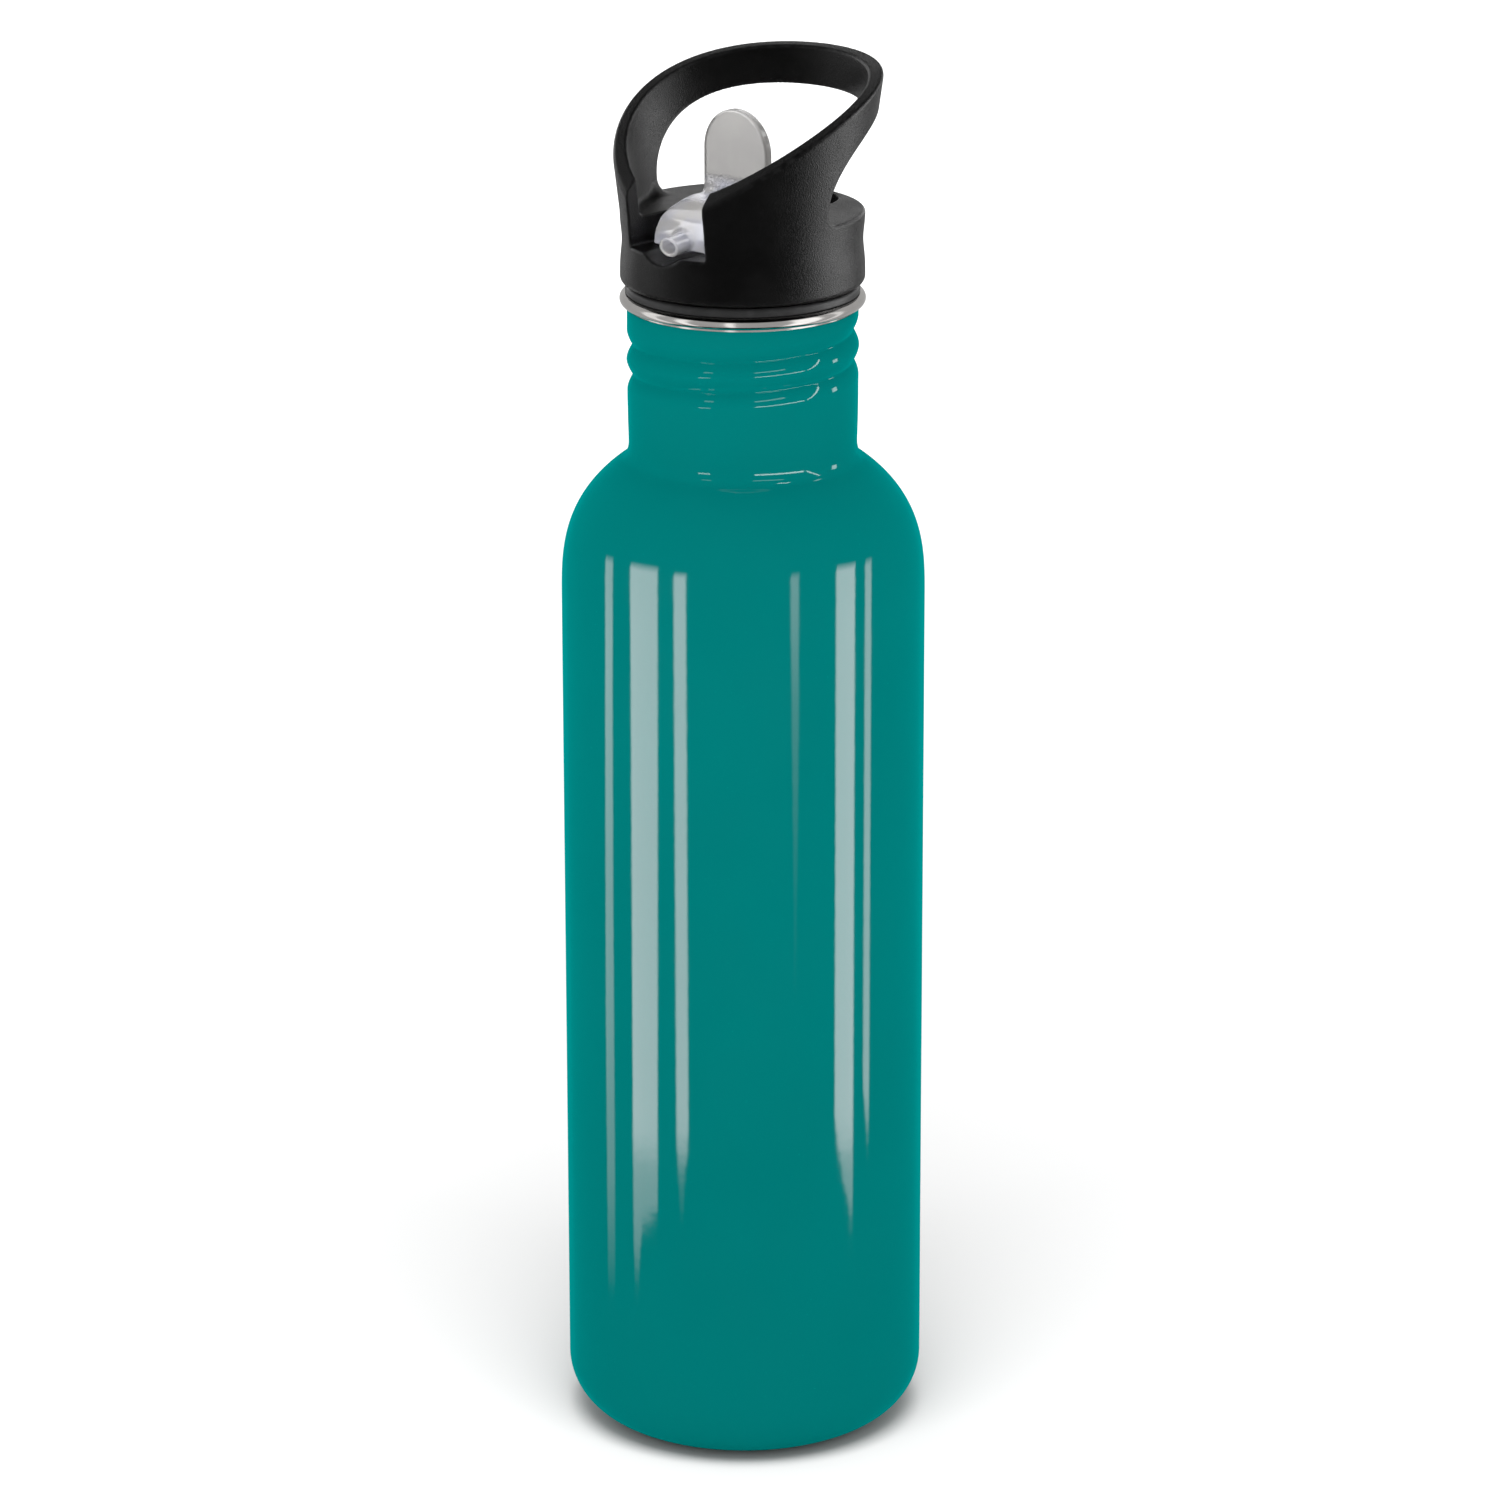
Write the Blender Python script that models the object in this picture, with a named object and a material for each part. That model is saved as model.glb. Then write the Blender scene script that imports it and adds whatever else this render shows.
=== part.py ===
"""A tall steel sports bottle: single-wall body, screw lid with a carry handle, clear flip-up spout and a straw.

Units are metres and +Z is up. The origin is on the bottle's axis, in the plane that the bottle stands on.
The spout is folded down and its mouth faces -Y. Turning the lid anticlockwise unscrews it.
"""

import math

import bmesh
import bpy
from mathutils import Matrix, Vector

MM = 0.001

# Facets around the turned pieces, and the clearance that neighbouring pieces keep.
SEGMENTS = 36
FINE_SEGMENTS = 48
SMALL_SEGMENTS = 20
GAP = 0.3 * MM

# Body: a single wall of sheet steel.
SHEET = 0.5 * MM
BODY_RADIUS = 36.5 * MM
BASE_CORNER = 12.0 * MM
BASE_CORNER_STEPS = 5
WALL_ROWS = 3
FOOT_INNER = 22.2 * MM
FOOT_LIP = 21.3 * MM
FOOT_LIP_RISE = 1.2 * MM

# Shoulder: part of a superellipse that ends where it meets the neck.
SHOULDER_START = 175.5 * MM
SHOULDER_HEIGHT = 33.5 * MM
SHOULDER_CENTRE = 13.9 * MM
SHOULDER_POWER_R = 1.2
SHOULDER_POWER_Z = 3.0
SHOULDER_STEPS = 8
SHOULDER_END = 22.9 * MM

# Neck, with a rolled right-hand thread whose ridges stand out and whose valleys sink in.
NECK_RADIUS = 22.7 * MM
NECK_START = 206.4 * MM
THREAD_PITCH = 6.1 * MM
THREAD_MEAN = 22.65 * MM
THREAD_HEIGHT = 0.65 * MM
THREAD_LOW = 215.5 * MM
THREAD_HIGH = 232.5 * MM
THREAD_FADE = 3.0 * MM
THREAD_ROW = 1.0 * MM
RIDGE_ANGLE = math.radians(43)
RIDGE_HEIGHT = 226.9 * MM

# Lip: the sheet's edge, curled outwards into a bead.
NECK_END = 233.8 * MM
BEAD_CENTRE = (23.3 * MM, 236.1 * MM)
BEAD_HALF_WIDTH = 1.15 * MM
BEAD_HALF_HEIGHT = 1.5 * MM
BEAD_FIRST = -110
BEAD_LAST = 150
BEAD_STEPS = 8

# Base pan, welded inside the foot.
PAN_RADIUS = 20.9 * MM
PAN_HEIGHT = 1.1 * MM
PAN_DOME = 1.9 * MM
PAN_SHEET = 0.6 * MM
PAN_STEPS = 5

# Gasket between the lid and the lip bead.
GASKET_INNER = 20.9 * MM
GASKET_OUTER = 24.0 * MM
GASKET_LOW = 237.9 * MM
GASKET_HIGH = 239.8 * MM
GASKET_ROUND = 0.5 * MM

# Lid cap: the skirt and the deck.
SKIRT_LOW = 240.1 * MM
SKIRT_RADIUS = 24.3 * MM
SKIRT_EDGE = 1.4 * MM
DECK = 254.7 * MM
DECK_EDGE = 0.8 * MM
HOLLOW_RADIUS = 22.2 * MM
HOLLOW_TOP = 252.9 * MM
SIDE_HOLLOW_RADIUS = 21.9 * MM
BACK_HOLLOW_RADIUS = 21.6 * MM
CAP_UNDERSIDE = 243.9 * MM
TUB_WALL = 1.6 * MM

# Slot for the spout: a notch through the skirt, a groove for the mouth tube and a pocket for the thumb tab.
SLOT_HALF = 10.1 * MM
NOTCH_FLOOR = 249.0 * MM
GROOVE_HALF = 4.6 * MM
GROOVE_FLOOR = 246.9 * MM
POCKET_FLOOR = 251.3 * MM
POCKET_CENTRE = 13.4 * MM
POCKET_WALL_START = 8.2 * MM

# Carry handle: a flared wall, cut along two curves that are given in the side view as (y, z).
HANDLE_WALL = 3.0 * MM
HANDLE_ROOT_RADIUS = 24.2 * MM
HANDLE_FLARE_RISE = 27.0 * MM
HANDLE_FLARE = 3.0 * MM
HANDLE_FLARE_BEND = 0.5 * MM
HANDLE_EMBED = 3.0 * MM
HANDLE_BACK_ROOT = -1.4 * MM
HANDLE_TOP_CURVE = ((-24.5, 255.3), (-23.7, 263.2), (-0.7, 281.2), (32.0, 283.8))
HANDLE_LOW_CURVE = ((-1.4, 258.0), (-1.3, 265.2), (7.8, 275.5), (30.0, 275.6))
HANDLE_FIRST = 20.0
HANDLE_ROOT_ANGLE = 86.6
HANDLE_SIDE_STEPS = 9
HANDLE_BACK_ANGLE = 87.4
HANDLE_BACK_STEPS = 13

# Spout pivot and the clear moulding that turns on it.
PIVOT_Z = 251.6 * MM
BARREL_RADIUS = 5.6 * MM
BARREL_HALF = 8.1 * MM
TROUGH_RADIUS = 6.1 * MM
TROUGH_HALF = 9.9 * MM
TRUNNION_RADIUS = 2.2 * MM
TRUNNION_HALF = 11.4 * MM
TRUNNION_HOLE = 2.45 * MM
MOUTH_REACH = 21.3 * MM
MOUTH_DROP = 1.7 * MM
MOUTH_RADIUS = 2.45 * MM
TUBE_ROOT_REACH = 4.0 * MM
TUBE_ROOT_RADIUS = 4.0 * MM
BORE_RADIUS = 1.7 * MM
COWL_HALF = 7.75 * MM
COWL_WALL = 1.2 * MM
COWL_LOW = 249.3 * MM
COWL_CURVE = ((-17.5, 249.3), (-17.1, 252.0), (-15.5, 254.5), (-13.2, 255.8), (-10.0, 256.8), (-6.8, 257.4), (-3.3, 257.5))
TAB_FRONT = -2.26 * MM
TAB_THICKNESS = 2.0 * MM
TAB_HALF = 8.1 * MM
TAB_TOP = 274.7 * MM
TAB_ROOT = 255.0 * MM
TAB_FILLET = 2.2 * MM

# Threaded insert, which screws into the neck and holds the straw.
FLANGE_RADIUS = 21.9 * MM
FLANGE_TOP = 242.8 * MM
CORE_RADIUS = 20.6 * MM
CORE_INNER = 18.2 * MM
CORE_LOW = 218.4 * MM
PLATE_UNDERSIDE = 240.3 * MM
MALE_CREST = 21.9 * MM
MALE_LOW = 220.5 * MM
MALE_HIGH = 229.6 * MM
MALE_FADE = 1.5 * MM
SOCKET_OUTER = 5.0 * MM
SOCKET_INNER = 3.6 * MM
SOCKET_LOW = 228.0 * MM
PORT_RADIUS = 2.2 * MM
VENT_Y = 13.0 * MM
VENT_RADIUS = 1.3 * MM

# Straw, spout seal and vent valve.
STRAW_OUTER = 3.3 * MM
STRAW_INNER = 2.6 * MM
STRAW_LOW = 8.0 * MM
STRAW_HIGH = 239.9 * MM
SEAL_HOLE = 5.0 * MM
SEAL_FLANGE = 6.4 * MM
SEAL_FLANGE_TOP = 243.6 * MM
SEAL_TOP = 246.9 * MM
SEAL_BORE = 2.0 * MM
VALVE_STEM = 0.95 * MM
VALVE_DISC = 3.0 * MM
VALVE_DISC_LOW = 239.1 * MM
VALVE_HEAD = 1.8 * MM
VALVE_HEAD_HEIGHT = 0.9 * MM


def clear_scene():
    for item in list(bpy.data.objects):
        bpy.data.objects.remove(item, do_unlink=True)


def principled(name, colour, roughness, metallic=0.0, transmission=0.0):
    """A material of one colour."""
    material = bpy.data.materials.new(name)
    material.use_nodes = True
    shader = material.node_tree.nodes["Principled BSDF"]
    shader.inputs["Base Color"].default_value = (*colour, 1.0)
    shader.inputs["Roughness"].default_value = roughness
    shader.inputs["Metallic"].default_value = metallic
    shader.inputs["Transmission Weight"].default_value = transmission
    material.diffuse_color = (*colour, 1.0)
    return material


def add_object(name, mesh_data, material=None):
    """Turn a bmesh into an object in the scene, with its faces pointing out."""
    bmesh.ops.recalc_face_normals(mesh_data, faces=mesh_data.faces[:])
    mesh = bpy.data.meshes.new(name)
    mesh_data.to_mesh(mesh)
    mesh_data.free()
    mesh.shade_smooth()
    mesh.set_sharp_from_angle(angle=math.radians(35))
    item = bpy.data.objects.new(name, mesh)
    bpy.context.scene.collection.objects.link(item)
    if material:
        mesh.materials.append(material)
    return item


def combine(target, tool, operation):
    """Apply one Boolean to the target and remove the tool."""
    modifier = target.modifiers.new("boolean", "BOOLEAN")
    modifier.operation = operation
    modifier.solver = "EXACT"
    modifier.object = tool
    bpy.context.view_layer.update()
    evaluated = target.evaluated_get(bpy.context.evaluated_depsgraph_get())
    result = bpy.data.meshes.new_from_object(evaluated)
    target.modifiers.clear()
    target.data = result
    bpy.data.objects.remove(tool, do_unlink=True)


def set_origin(item, point):
    """Move an object's origin without moving its shape."""
    item.data.transform(Matrix.Translation(-Vector(point)))
    item.location = point


def ring(mesh_data, point_at, segments):
    """One closed row of vertices, where point_at gives the place for an angle."""
    return [mesh_data.verts.new(point_at(2 * math.pi * i / segments)) for i in range(segments)]


def join_rings(mesh_data, rings, closed):
    """Faces between neighbouring rings, and from the last to the first if the profile is closed."""
    pairs = list(zip(rings, rings[1:]))
    if closed:
        pairs.append((rings[-1], rings[0]))
    for low, high in pairs:
        count = len(low)
        for i in range(count):
            j = (i + 1) % count
            mesh_data.faces.new((low[i], low[j], high[j], high[i]))


def turned(profile, segments=SEGMENTS, closed=True):
    """Turn (radius, z) points about Z. An open profile gets a flat cap at each end."""
    mesh_data = bmesh.new()
    rings = []
    for radius, z in profile:
        rings.append(ring(mesh_data, lambda a: (radius * math.cos(a), radius * math.sin(a), z), segments))
    join_rings(mesh_data, rings, closed)
    if not closed:
        mesh_data.faces.new(rings[0])
        mesh_data.faces.new(rings[-1])
    return mesh_data


def prism(outline, low, high, axis):
    """Extrude a closed outline along an axis. The outline's points are (x, y), (x, z) or (y, z)."""
    place = {
        "X": lambda a, b, along: (along, a, b),
        "Y": lambda a, b, along: (a, along, b),
        "Z": lambda a, b, along: (a, b, along),
    }[axis]
    mesh_data = bmesh.new()
    bottom = [mesh_data.verts.new(place(a, b, low)) for a, b in outline]
    top = [mesh_data.verts.new(place(a, b, high)) for a, b in outline]
    join_rings(mesh_data, [bottom, top], closed=False)
    mesh_data.faces.new(bottom)
    mesh_data.faces.new(top)
    return mesh_data


def rectangle(low_a, high_a, low_b, high_b):
    return [(low_a, low_b), (high_a, low_b), (high_a, high_b), (low_a, high_b)]


def arc(centre, radius, first, last, steps):
    """Points along an arc, with its angles in degrees."""
    points = []
    for i in range(steps + 1):
        angle = math.radians(first + (last - first) * i / steps)
        points.append((centre[0] + radius * math.cos(angle), centre[1] + radius * math.sin(angle)))
    return points


def circle(centre, radius, segments=SMALL_SEGMENTS):
    return arc(centre, radius, 0, 360, segments)[:-1]


def bezier(curve, t):
    """The point at t of a cubic curve whose control points are in millimetres."""
    weights = ((1 - t) ** 3, 3 * (1 - t) ** 2 * t, 3 * (1 - t) * t**2, t**3)
    return tuple(MM * sum(w * point[k] for w, point in zip(weights, curve)) for k in (0, 1))


def height_on(curve, y):
    """The height of a side-view curve at y, found by halving, because y grows along the curve."""
    low, high = 0.0, 1.0
    for _ in range(30):
        middle = (low + high) / 2
        if bezier(curve, middle)[0] < y:
            low = middle
        else:
            high = middle
    return bezier(curve, low)[1]


def fade(z, low, high, length):
    """One between low and high, falling to nothing over a length past each end."""
    distance = max(low - z, z - high, 0.0)
    return max(0.0, 1.0 - distance / length)


def thread_wave(angle, z):
    """The cosine of the place within the thread's turn: 1 on a ridge and -1 in a valley."""
    ridge = RIDGE_HEIGHT + THREAD_PITCH * (angle - RIDGE_ANGLE) / (2 * math.pi)
    return math.cos(2 * math.pi * (z - ridge) / THREAD_PITCH)


def neck_radius(angle, z):
    """Outer radius of the threaded stretch of the neck."""
    strength = fade(z, THREAD_LOW + THREAD_FADE, THREAD_HIGH - THREAD_FADE / 2, THREAD_FADE)
    threaded = THREAD_MEAN + THREAD_HEIGHT * thread_wave(angle, z)
    return NECK_RADIUS + strength * (threaded - NECK_RADIUS)


def male_radius(angle, z):
    """Outer radius of the threaded insert, whose ridge follows the neck's inner groove."""
    strength = fade(z, MALE_LOW, MALE_HIGH, MALE_FADE)
    return CORE_RADIUS + strength * (MALE_CREST - CORE_RADIUS) * max(0.0, thread_wave(angle, z))


def offset_inwards(points, distance):
    """Shift an open (radius, z) outline that runs from the foot to the mouth to its inner side."""
    shifted = []
    for i, (radius, z) in enumerate(points):
        before = points[max(i - 1, 0)]
        after = points[min(i + 1, len(points) - 1)]
        along = Vector((after[0] - before[0], after[1] - before[1])).normalized()
        shifted.append((radius - along.y * distance, z + along.x * distance))
    return shifted


def wall_outline():
    """Outer outline of the body as (radius, z), from the foot's inner lip to the start of the thread."""
    points = [(FOOT_LIP, FOOT_LIP_RISE), (FOOT_INNER, 0.0)]
    corner = (BODY_RADIUS - BASE_CORNER, BASE_CORNER)
    points += arc(corner, BASE_CORNER, -90, 0, BASE_CORNER_STEPS)
    for i in range(1, WALL_ROWS):
        points.append((BODY_RADIUS, BASE_CORNER + (SHOULDER_START - BASE_CORNER) * i / WALL_ROWS))
    width = BODY_RADIUS - SHOULDER_CENTRE
    last = math.acos(((SHOULDER_END - SHOULDER_CENTRE) / width) ** (SHOULDER_POWER_R / 2))
    for i in range(SHOULDER_STEPS + 1):
        angle = last * i / SHOULDER_STEPS
        radius = SHOULDER_CENTRE + width * math.cos(angle) ** (2 / SHOULDER_POWER_R)
        z = SHOULDER_START + SHOULDER_HEIGHT * math.sin(angle) ** (2 / SHOULDER_POWER_Z)
        points.append((radius, z))
    return points + [(NECK_RADIUS, NECK_START)]


def bead_outline():
    """The lip bead from the neck's outer side, over the top, to its inner side."""
    points = []
    for i in range(BEAD_STEPS + 1):
        angle = math.radians(BEAD_FIRST + (BEAD_LAST - BEAD_FIRST) * i / BEAD_STEPS)
        points.append(
            (
                BEAD_CENTRE[0] + BEAD_HALF_WIDTH * math.cos(angle),
                BEAD_CENTRE[1] + BEAD_HALF_HEIGHT * math.sin(angle),
            )
        )
    return points


def add_bottle_shell(material):
    """Body, shoulder, threaded neck and lip bead, as one closed wall around the inside."""
    mesh_data = bmesh.new()
    wall = wall_outline()
    thread_rows = round((THREAD_HIGH - THREAD_LOW) / THREAD_ROW)
    thread_heights = [THREAD_LOW + THREAD_ROW * i for i in range(thread_rows + 1)]

    def plain_ring(radius, z):
        return ring(mesh_data, lambda a: (radius * math.cos(a), radius * math.sin(a), z), SEGMENTS)

    def neck_ring(z, inset):
        def point_at(angle):
            radius = neck_radius(angle, z) - inset
            return (radius * math.cos(angle), radius * math.sin(angle), z)

        return ring(mesh_data, point_at, SEGMENTS)

    rings = [plain_ring(*point) for point in wall]
    rings += [neck_ring(z, 0.0) for z in thread_heights]
    rings.append(plain_ring(NECK_RADIUS, NECK_END))
    rings += [plain_ring(*point) for point in bead_outline()]
    rings.append(plain_ring(NECK_RADIUS - SHEET, NECK_END))
    rings += [neck_ring(z, SHEET) for z in reversed(thread_heights)]
    rings += [plain_ring(*point) for point in reversed(offset_inwards(wall, SHEET))]
    join_rings(mesh_data, rings, closed=True)
    return add_object("bottle_shell", mesh_data, material)


def add_base_pan(material):
    """A shallow dome of sheet steel inside the foot."""
    under = []
    for i in range(PAN_STEPS):
        radius = PAN_RADIUS * (1 - i / PAN_STEPS)
        under.append((radius, PAN_HEIGHT + PAN_DOME * (1 - (radius / PAN_RADIUS) ** 2)))
    over = [(radius, z + PAN_SHEET) for radius, z in under]
    mesh_data = turned(list(reversed(under)) + over, closed=False)
    return add_object("base_pan", mesh_data, material)


def add_neck_gasket(material):
    """A soft ring under the skirt, with its outer edges rounded."""
    centre_radius = GASKET_OUTER - GASKET_ROUND
    profile = [(GASKET_INNER, GASKET_LOW)]
    profile += arc((centre_radius, GASKET_LOW + GASKET_ROUND), GASKET_ROUND, -90, 0, 2)
    profile += arc((centre_radius, GASKET_HIGH - GASKET_ROUND), GASKET_ROUND, 0, 90, 2)
    profile.append((GASKET_INNER, GASKET_HIGH))
    return add_object("neck_gasket", turned(profile), material)


def cap_body():
    """The skirt and the deck, still solid inside."""
    profile = [(SKIRT_RADIUS - SKIRT_EDGE, SKIRT_LOW)]
    profile += arc((SKIRT_RADIUS - SKIRT_EDGE, SKIRT_LOW + SKIRT_EDGE), SKIRT_EDGE, -60, 0, 2)
    profile += arc((SKIRT_RADIUS - DECK_EDGE, DECK - DECK_EDGE), DECK_EDGE, 0, 90, 2)
    return turned(profile, FINE_SEGMENTS, closed=False)


def handle_wall_point(angle, height_at, inset):
    """A point of the handle's wall, where height_at gives the edge's height for a y."""
    z = DECK
    for _ in range(8):
        rise = max(z - DECK, 0.0) / HANDLE_FLARE_RISE
        radius = HANDLE_ROOT_RADIUS + rise * (HANDLE_FLARE + rise * HANDLE_FLARE_BEND) - inset
        y = -radius * math.cos(angle)
        z = height_at(y)
    return Vector((radius * math.sin(angle), y, z))


def handle_angles():
    """Angles of the handle's sections from -Y, round the back, denser where the arms leave the deck."""
    side_step = (HANDLE_ROOT_ANGLE - HANDLE_FIRST) / HANDLE_SIDE_STEPS
    side = [HANDLE_FIRST + side_step * i for i in range(HANDLE_SIDE_STEPS + 1)]
    back = []
    for i in range(HANDLE_BACK_STEPS + 1):
        share = (i / HANDLE_BACK_STEPS) ** 1.5
        back.append(HANDLE_BACK_ANGLE + (180 - HANDLE_BACK_ANGLE) * share)
    half = side + back
    whole = half + [360 - angle for angle in reversed(half[:-1])]
    return [math.radians(angle) for angle in whole]


def handle():
    """The flared wall between the top and the lower curve; its arms reach down into the deck."""

    def top_height(y):
        return height_on(HANDLE_TOP_CURVE, y)

    def low_height(y):
        return height_on(HANDLE_LOW_CURVE, y) if y > HANDLE_BACK_ROOT else DECK - HANDLE_EMBED

    mesh_data = bmesh.new()
    sections = []
    for angle in handle_angles():
        edges = (
            (low_height, 0.0),
            (top_height, 0.0),
            (top_height, HANDLE_WALL),
            (low_height, HANDLE_WALL),
        )
        corners = [handle_wall_point(angle, edge, inset) for edge, inset in edges]
        sections.append([mesh_data.verts.new(point) for point in corners])
    join_rings(mesh_data, sections, closed=False)
    mesh_data.faces.new(sections[0])
    mesh_data.faces.new(sections[-1])
    return mesh_data


def hollow_segment(side):
    """Plan outline of the hollow beside the slot, on the +X or the -X side."""
    edge = SLOT_HALF + TUB_WALL
    reach = math.degrees(math.acos(edge / SIDE_HOLLOW_RADIUS))
    return [(side * x, y) for x, y in arc((0, 0), SIDE_HOLLOW_RADIUS, -reach, reach, 12)]


def back_hollow():
    """Plan outline of the hollow under the tab's pocket."""
    edge = SLOT_HALF + TUB_WALL + GAP
    first = math.degrees(math.acos(edge / BACK_HOLLOW_RADIUS))
    back = arc((0, 0), BACK_HOLLOW_RADIUS, first, 180 - first, 8)
    return [(edge, POCKET_WALL_START)] + back + [(-edge, POCKET_WALL_START)]


def slot_tools():
    """Solids whose removal leaves the slot for the spout and its tab."""
    far = 2 * SKIRT_RADIUS
    pocket = rectangle(-SLOT_HALF, SLOT_HALF, 0.0, POCKET_CENTRE)[:2]
    pocket += arc((0, POCKET_CENTRE), SLOT_HALF, 0, 180, 16)
    pivot = (0.0, PIVOT_Z)
    return [
        prism(rectangle(-SLOT_HALF, SLOT_HALF, -far, 0.5 * MM), NOTCH_FLOOR, DECK + far, "Z"),
        prism(rectangle(-GROOVE_HALF, GROOVE_HALF, -far, -MM), GROOVE_FLOOR, NOTCH_FLOOR + MM, "Z"),
        prism(pocket, POCKET_FLOOR, DECK + 5 * MM, "Z"),
        prism(circle(pivot, TROUGH_RADIUS, FINE_SEGMENTS), -TROUGH_HALF, TROUGH_HALF, "X"),
        prism(circle(pivot, TRUNNION_HOLE), -SLOT_HALF - 2 * TUB_WALL, SLOT_HALF + 2 * TUB_WALL, "X"),
    ]


def hollow_tools():
    """Solids whose removal leaves the underside open, with a wall around the slot."""
    below = SKIRT_LOW - MM
    start = CAP_UNDERSIDE - MM
    return [
        prism(circle((0, 0), HOLLOW_RADIUS, FINE_SEGMENTS), below, CAP_UNDERSIDE, "Z"),
        prism(hollow_segment(1), start, HOLLOW_TOP, "Z"),
        prism(hollow_segment(-1), start, HOLLOW_TOP, "Z"),
        prism(back_hollow(), start, POCKET_FLOOR - TUB_WALL, "Z"),
        prism(circle((0, 0), SEAL_HOLE), start, PIVOT_Z, "Z"),
    ]


def add_lid_cap(material):
    """Skirt, deck, slot and carry handle as one moulding."""
    cap = add_object("lid_cap", cap_body(), material)
    combine(cap, add_object("handle", handle()), "UNION")
    for tool in slot_tools() + hollow_tools():
        combine(cap, add_object("cutter", tool), "DIFFERENCE")
    return cap


def add_threaded_insert(material):
    """The male thread under the lid, with its flange, straw socket and vent hole."""
    mesh_data = bmesh.new()
    rows = round((CORE_RADIUS - CORE_INNER + MALE_HIGH - MALE_LOW + 2 * MALE_FADE) / THREAD_ROW)
    heights = [MALE_LOW - MALE_FADE + THREAD_ROW * i for i in range(rows + 1)]

    def plain_ring(radius, z):
        return ring(mesh_data, lambda a: (radius * math.cos(a), radius * math.sin(a), z), SEGMENTS)

    def male_ring(z):
        def point_at(angle):
            radius = male_radius(angle, z)
            return (radius * math.cos(angle), radius * math.sin(angle), z)

        return ring(mesh_data, point_at, SEGMENTS)

    rings = [plain_ring(CORE_RADIUS - 2 * GAP, CORE_LOW)]
    rings += [male_ring(z) for z in heights]
    outside = ((CORE_RADIUS, SKIRT_LOW), (FLANGE_RADIUS, SKIRT_LOW), (FLANGE_RADIUS, FLANGE_TOP))
    middle = ((PORT_RADIUS, FLANGE_TOP), (PORT_RADIUS, PLATE_UNDERSIDE), (SOCKET_INNER, PLATE_UNDERSIDE))
    inside = (
        (SOCKET_INNER, SOCKET_LOW),
        (SOCKET_OUTER, SOCKET_LOW),
        (SOCKET_OUTER, PLATE_UNDERSIDE),
        (CORE_INNER, PLATE_UNDERSIDE),
        (CORE_INNER, CORE_LOW),
    )
    rings += [plain_ring(*point) for point in outside + middle + inside]
    join_rings(mesh_data, rings, closed=True)
    insert = add_object("threaded_insert", mesh_data, material)
    vent = prism(circle((0, VENT_Y), VENT_RADIUS), PLATE_UNDERSIDE - MM, FLANGE_TOP + MM, "Z")
    combine(insert, add_object("cutter", vent), "DIFFERENCE")
    return insert


def add_straw(material):
    profile = [
        (STRAW_OUTER, STRAW_LOW),
        (STRAW_OUTER, STRAW_HIGH),
        (STRAW_INNER, STRAW_HIGH),
        (STRAW_INNER, STRAW_LOW),
    ]
    return add_object("straw", turned(profile, SMALL_SEGMENTS), material)


def add_spout_seal(material):
    """A silicone seat in the floor of the trough, with a flange below and a top that fits the barrel."""
    low = FLANGE_TOP + GAP
    profile = [
        (SEAL_BORE, low),
        (SEAL_FLANGE, low),
        (SEAL_FLANGE, SEAL_FLANGE_TOP),
        (SEAL_HOLE - GAP, SEAL_FLANGE_TOP),
        (SEAL_HOLE - GAP, SEAL_TOP),
        (SEAL_BORE, SEAL_TOP),
    ]
    seal = add_object("spout_seal", turned(profile, SMALL_SEGMENTS), material)
    seat = prism(circle((0.0, PIVOT_Z), BARREL_RADIUS + GAP, FINE_SEGMENTS), -SLOT_HALF, SLOT_HALF, "X")
    combine(seal, add_object("cutter", seat), "DIFFERENCE")
    return seal


def add_vent_valve(material):
    """A silicone button through the vent hole: a disc below the plate and a head above it."""
    disc_high = PLATE_UNDERSIDE - GAP
    head_low = FLANGE_TOP + GAP
    head_high = head_low + VALVE_HEAD_HEIGHT
    profile = [
        (VALVE_DISC - GAP, VALVE_DISC_LOW),
        (VALVE_DISC, disc_high),
        (VALVE_STEM, disc_high),
        (VALVE_STEM, head_low),
        (VALVE_HEAD, head_low),
        (VALVE_STEM, head_high),
    ]
    valve = add_object("vent_valve", turned(profile, SMALL_SEGMENTS, closed=False), material)
    valve.location = (0.0, VENT_Y, 0.0)
    return valve


def along_tube(profile, segments=SMALL_SEGMENTS):
    """Turn (radius, reach) points about the spout's tube, which runs from the pivot to the mouth."""
    mesh_data = turned(profile, segments, closed=False)
    direction = Vector((0.0, -MOUTH_REACH, -MOUTH_DROP)).normalized()
    turn = Vector((0, 0, 1)).rotation_difference(direction).to_matrix().to_4x4()
    bmesh.ops.transform(mesh_data, matrix=Matrix.Translation((0, 0, PIVOT_Z)) @ turn, verts=mesh_data.verts)
    return mesh_data


def cowl():
    """The hood over the tube: a curved roof between two cheeks, open below."""
    roof = [(y * MM, z * MM) for y, z in COWL_CURVE]
    outer = roof + [(-2.0 * MM, 254.0 * MM), (-5.0 * MM, COWL_LOW)]
    hood = add_object("cowl", prism(outer, -COWL_HALF, COWL_HALF, "X"))
    slopes = [Vector(b) - Vector(a) for a, b in zip(roof, roof[1:])]
    slopes.append(slopes[-1])
    inner = []
    for (y, z), slope in zip(roof, slopes):
        inward = Vector((slope.y, -slope.x)).normalized() * COWL_WALL
        inner.append((y + inward.x, z + inward.y))
    inner = [(inner[0][0], COWL_LOW - MM)] + inner[1:-1] + [(-4.6 * MM, inner[-2][1]), (-6.0 * MM, COWL_LOW - MM)]
    inside = COWL_HALF - COWL_WALL
    combine(hood, add_object("cutter", prism(inner, -inside, inside, "X")), "DIFFERENCE")
    return hood


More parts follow.
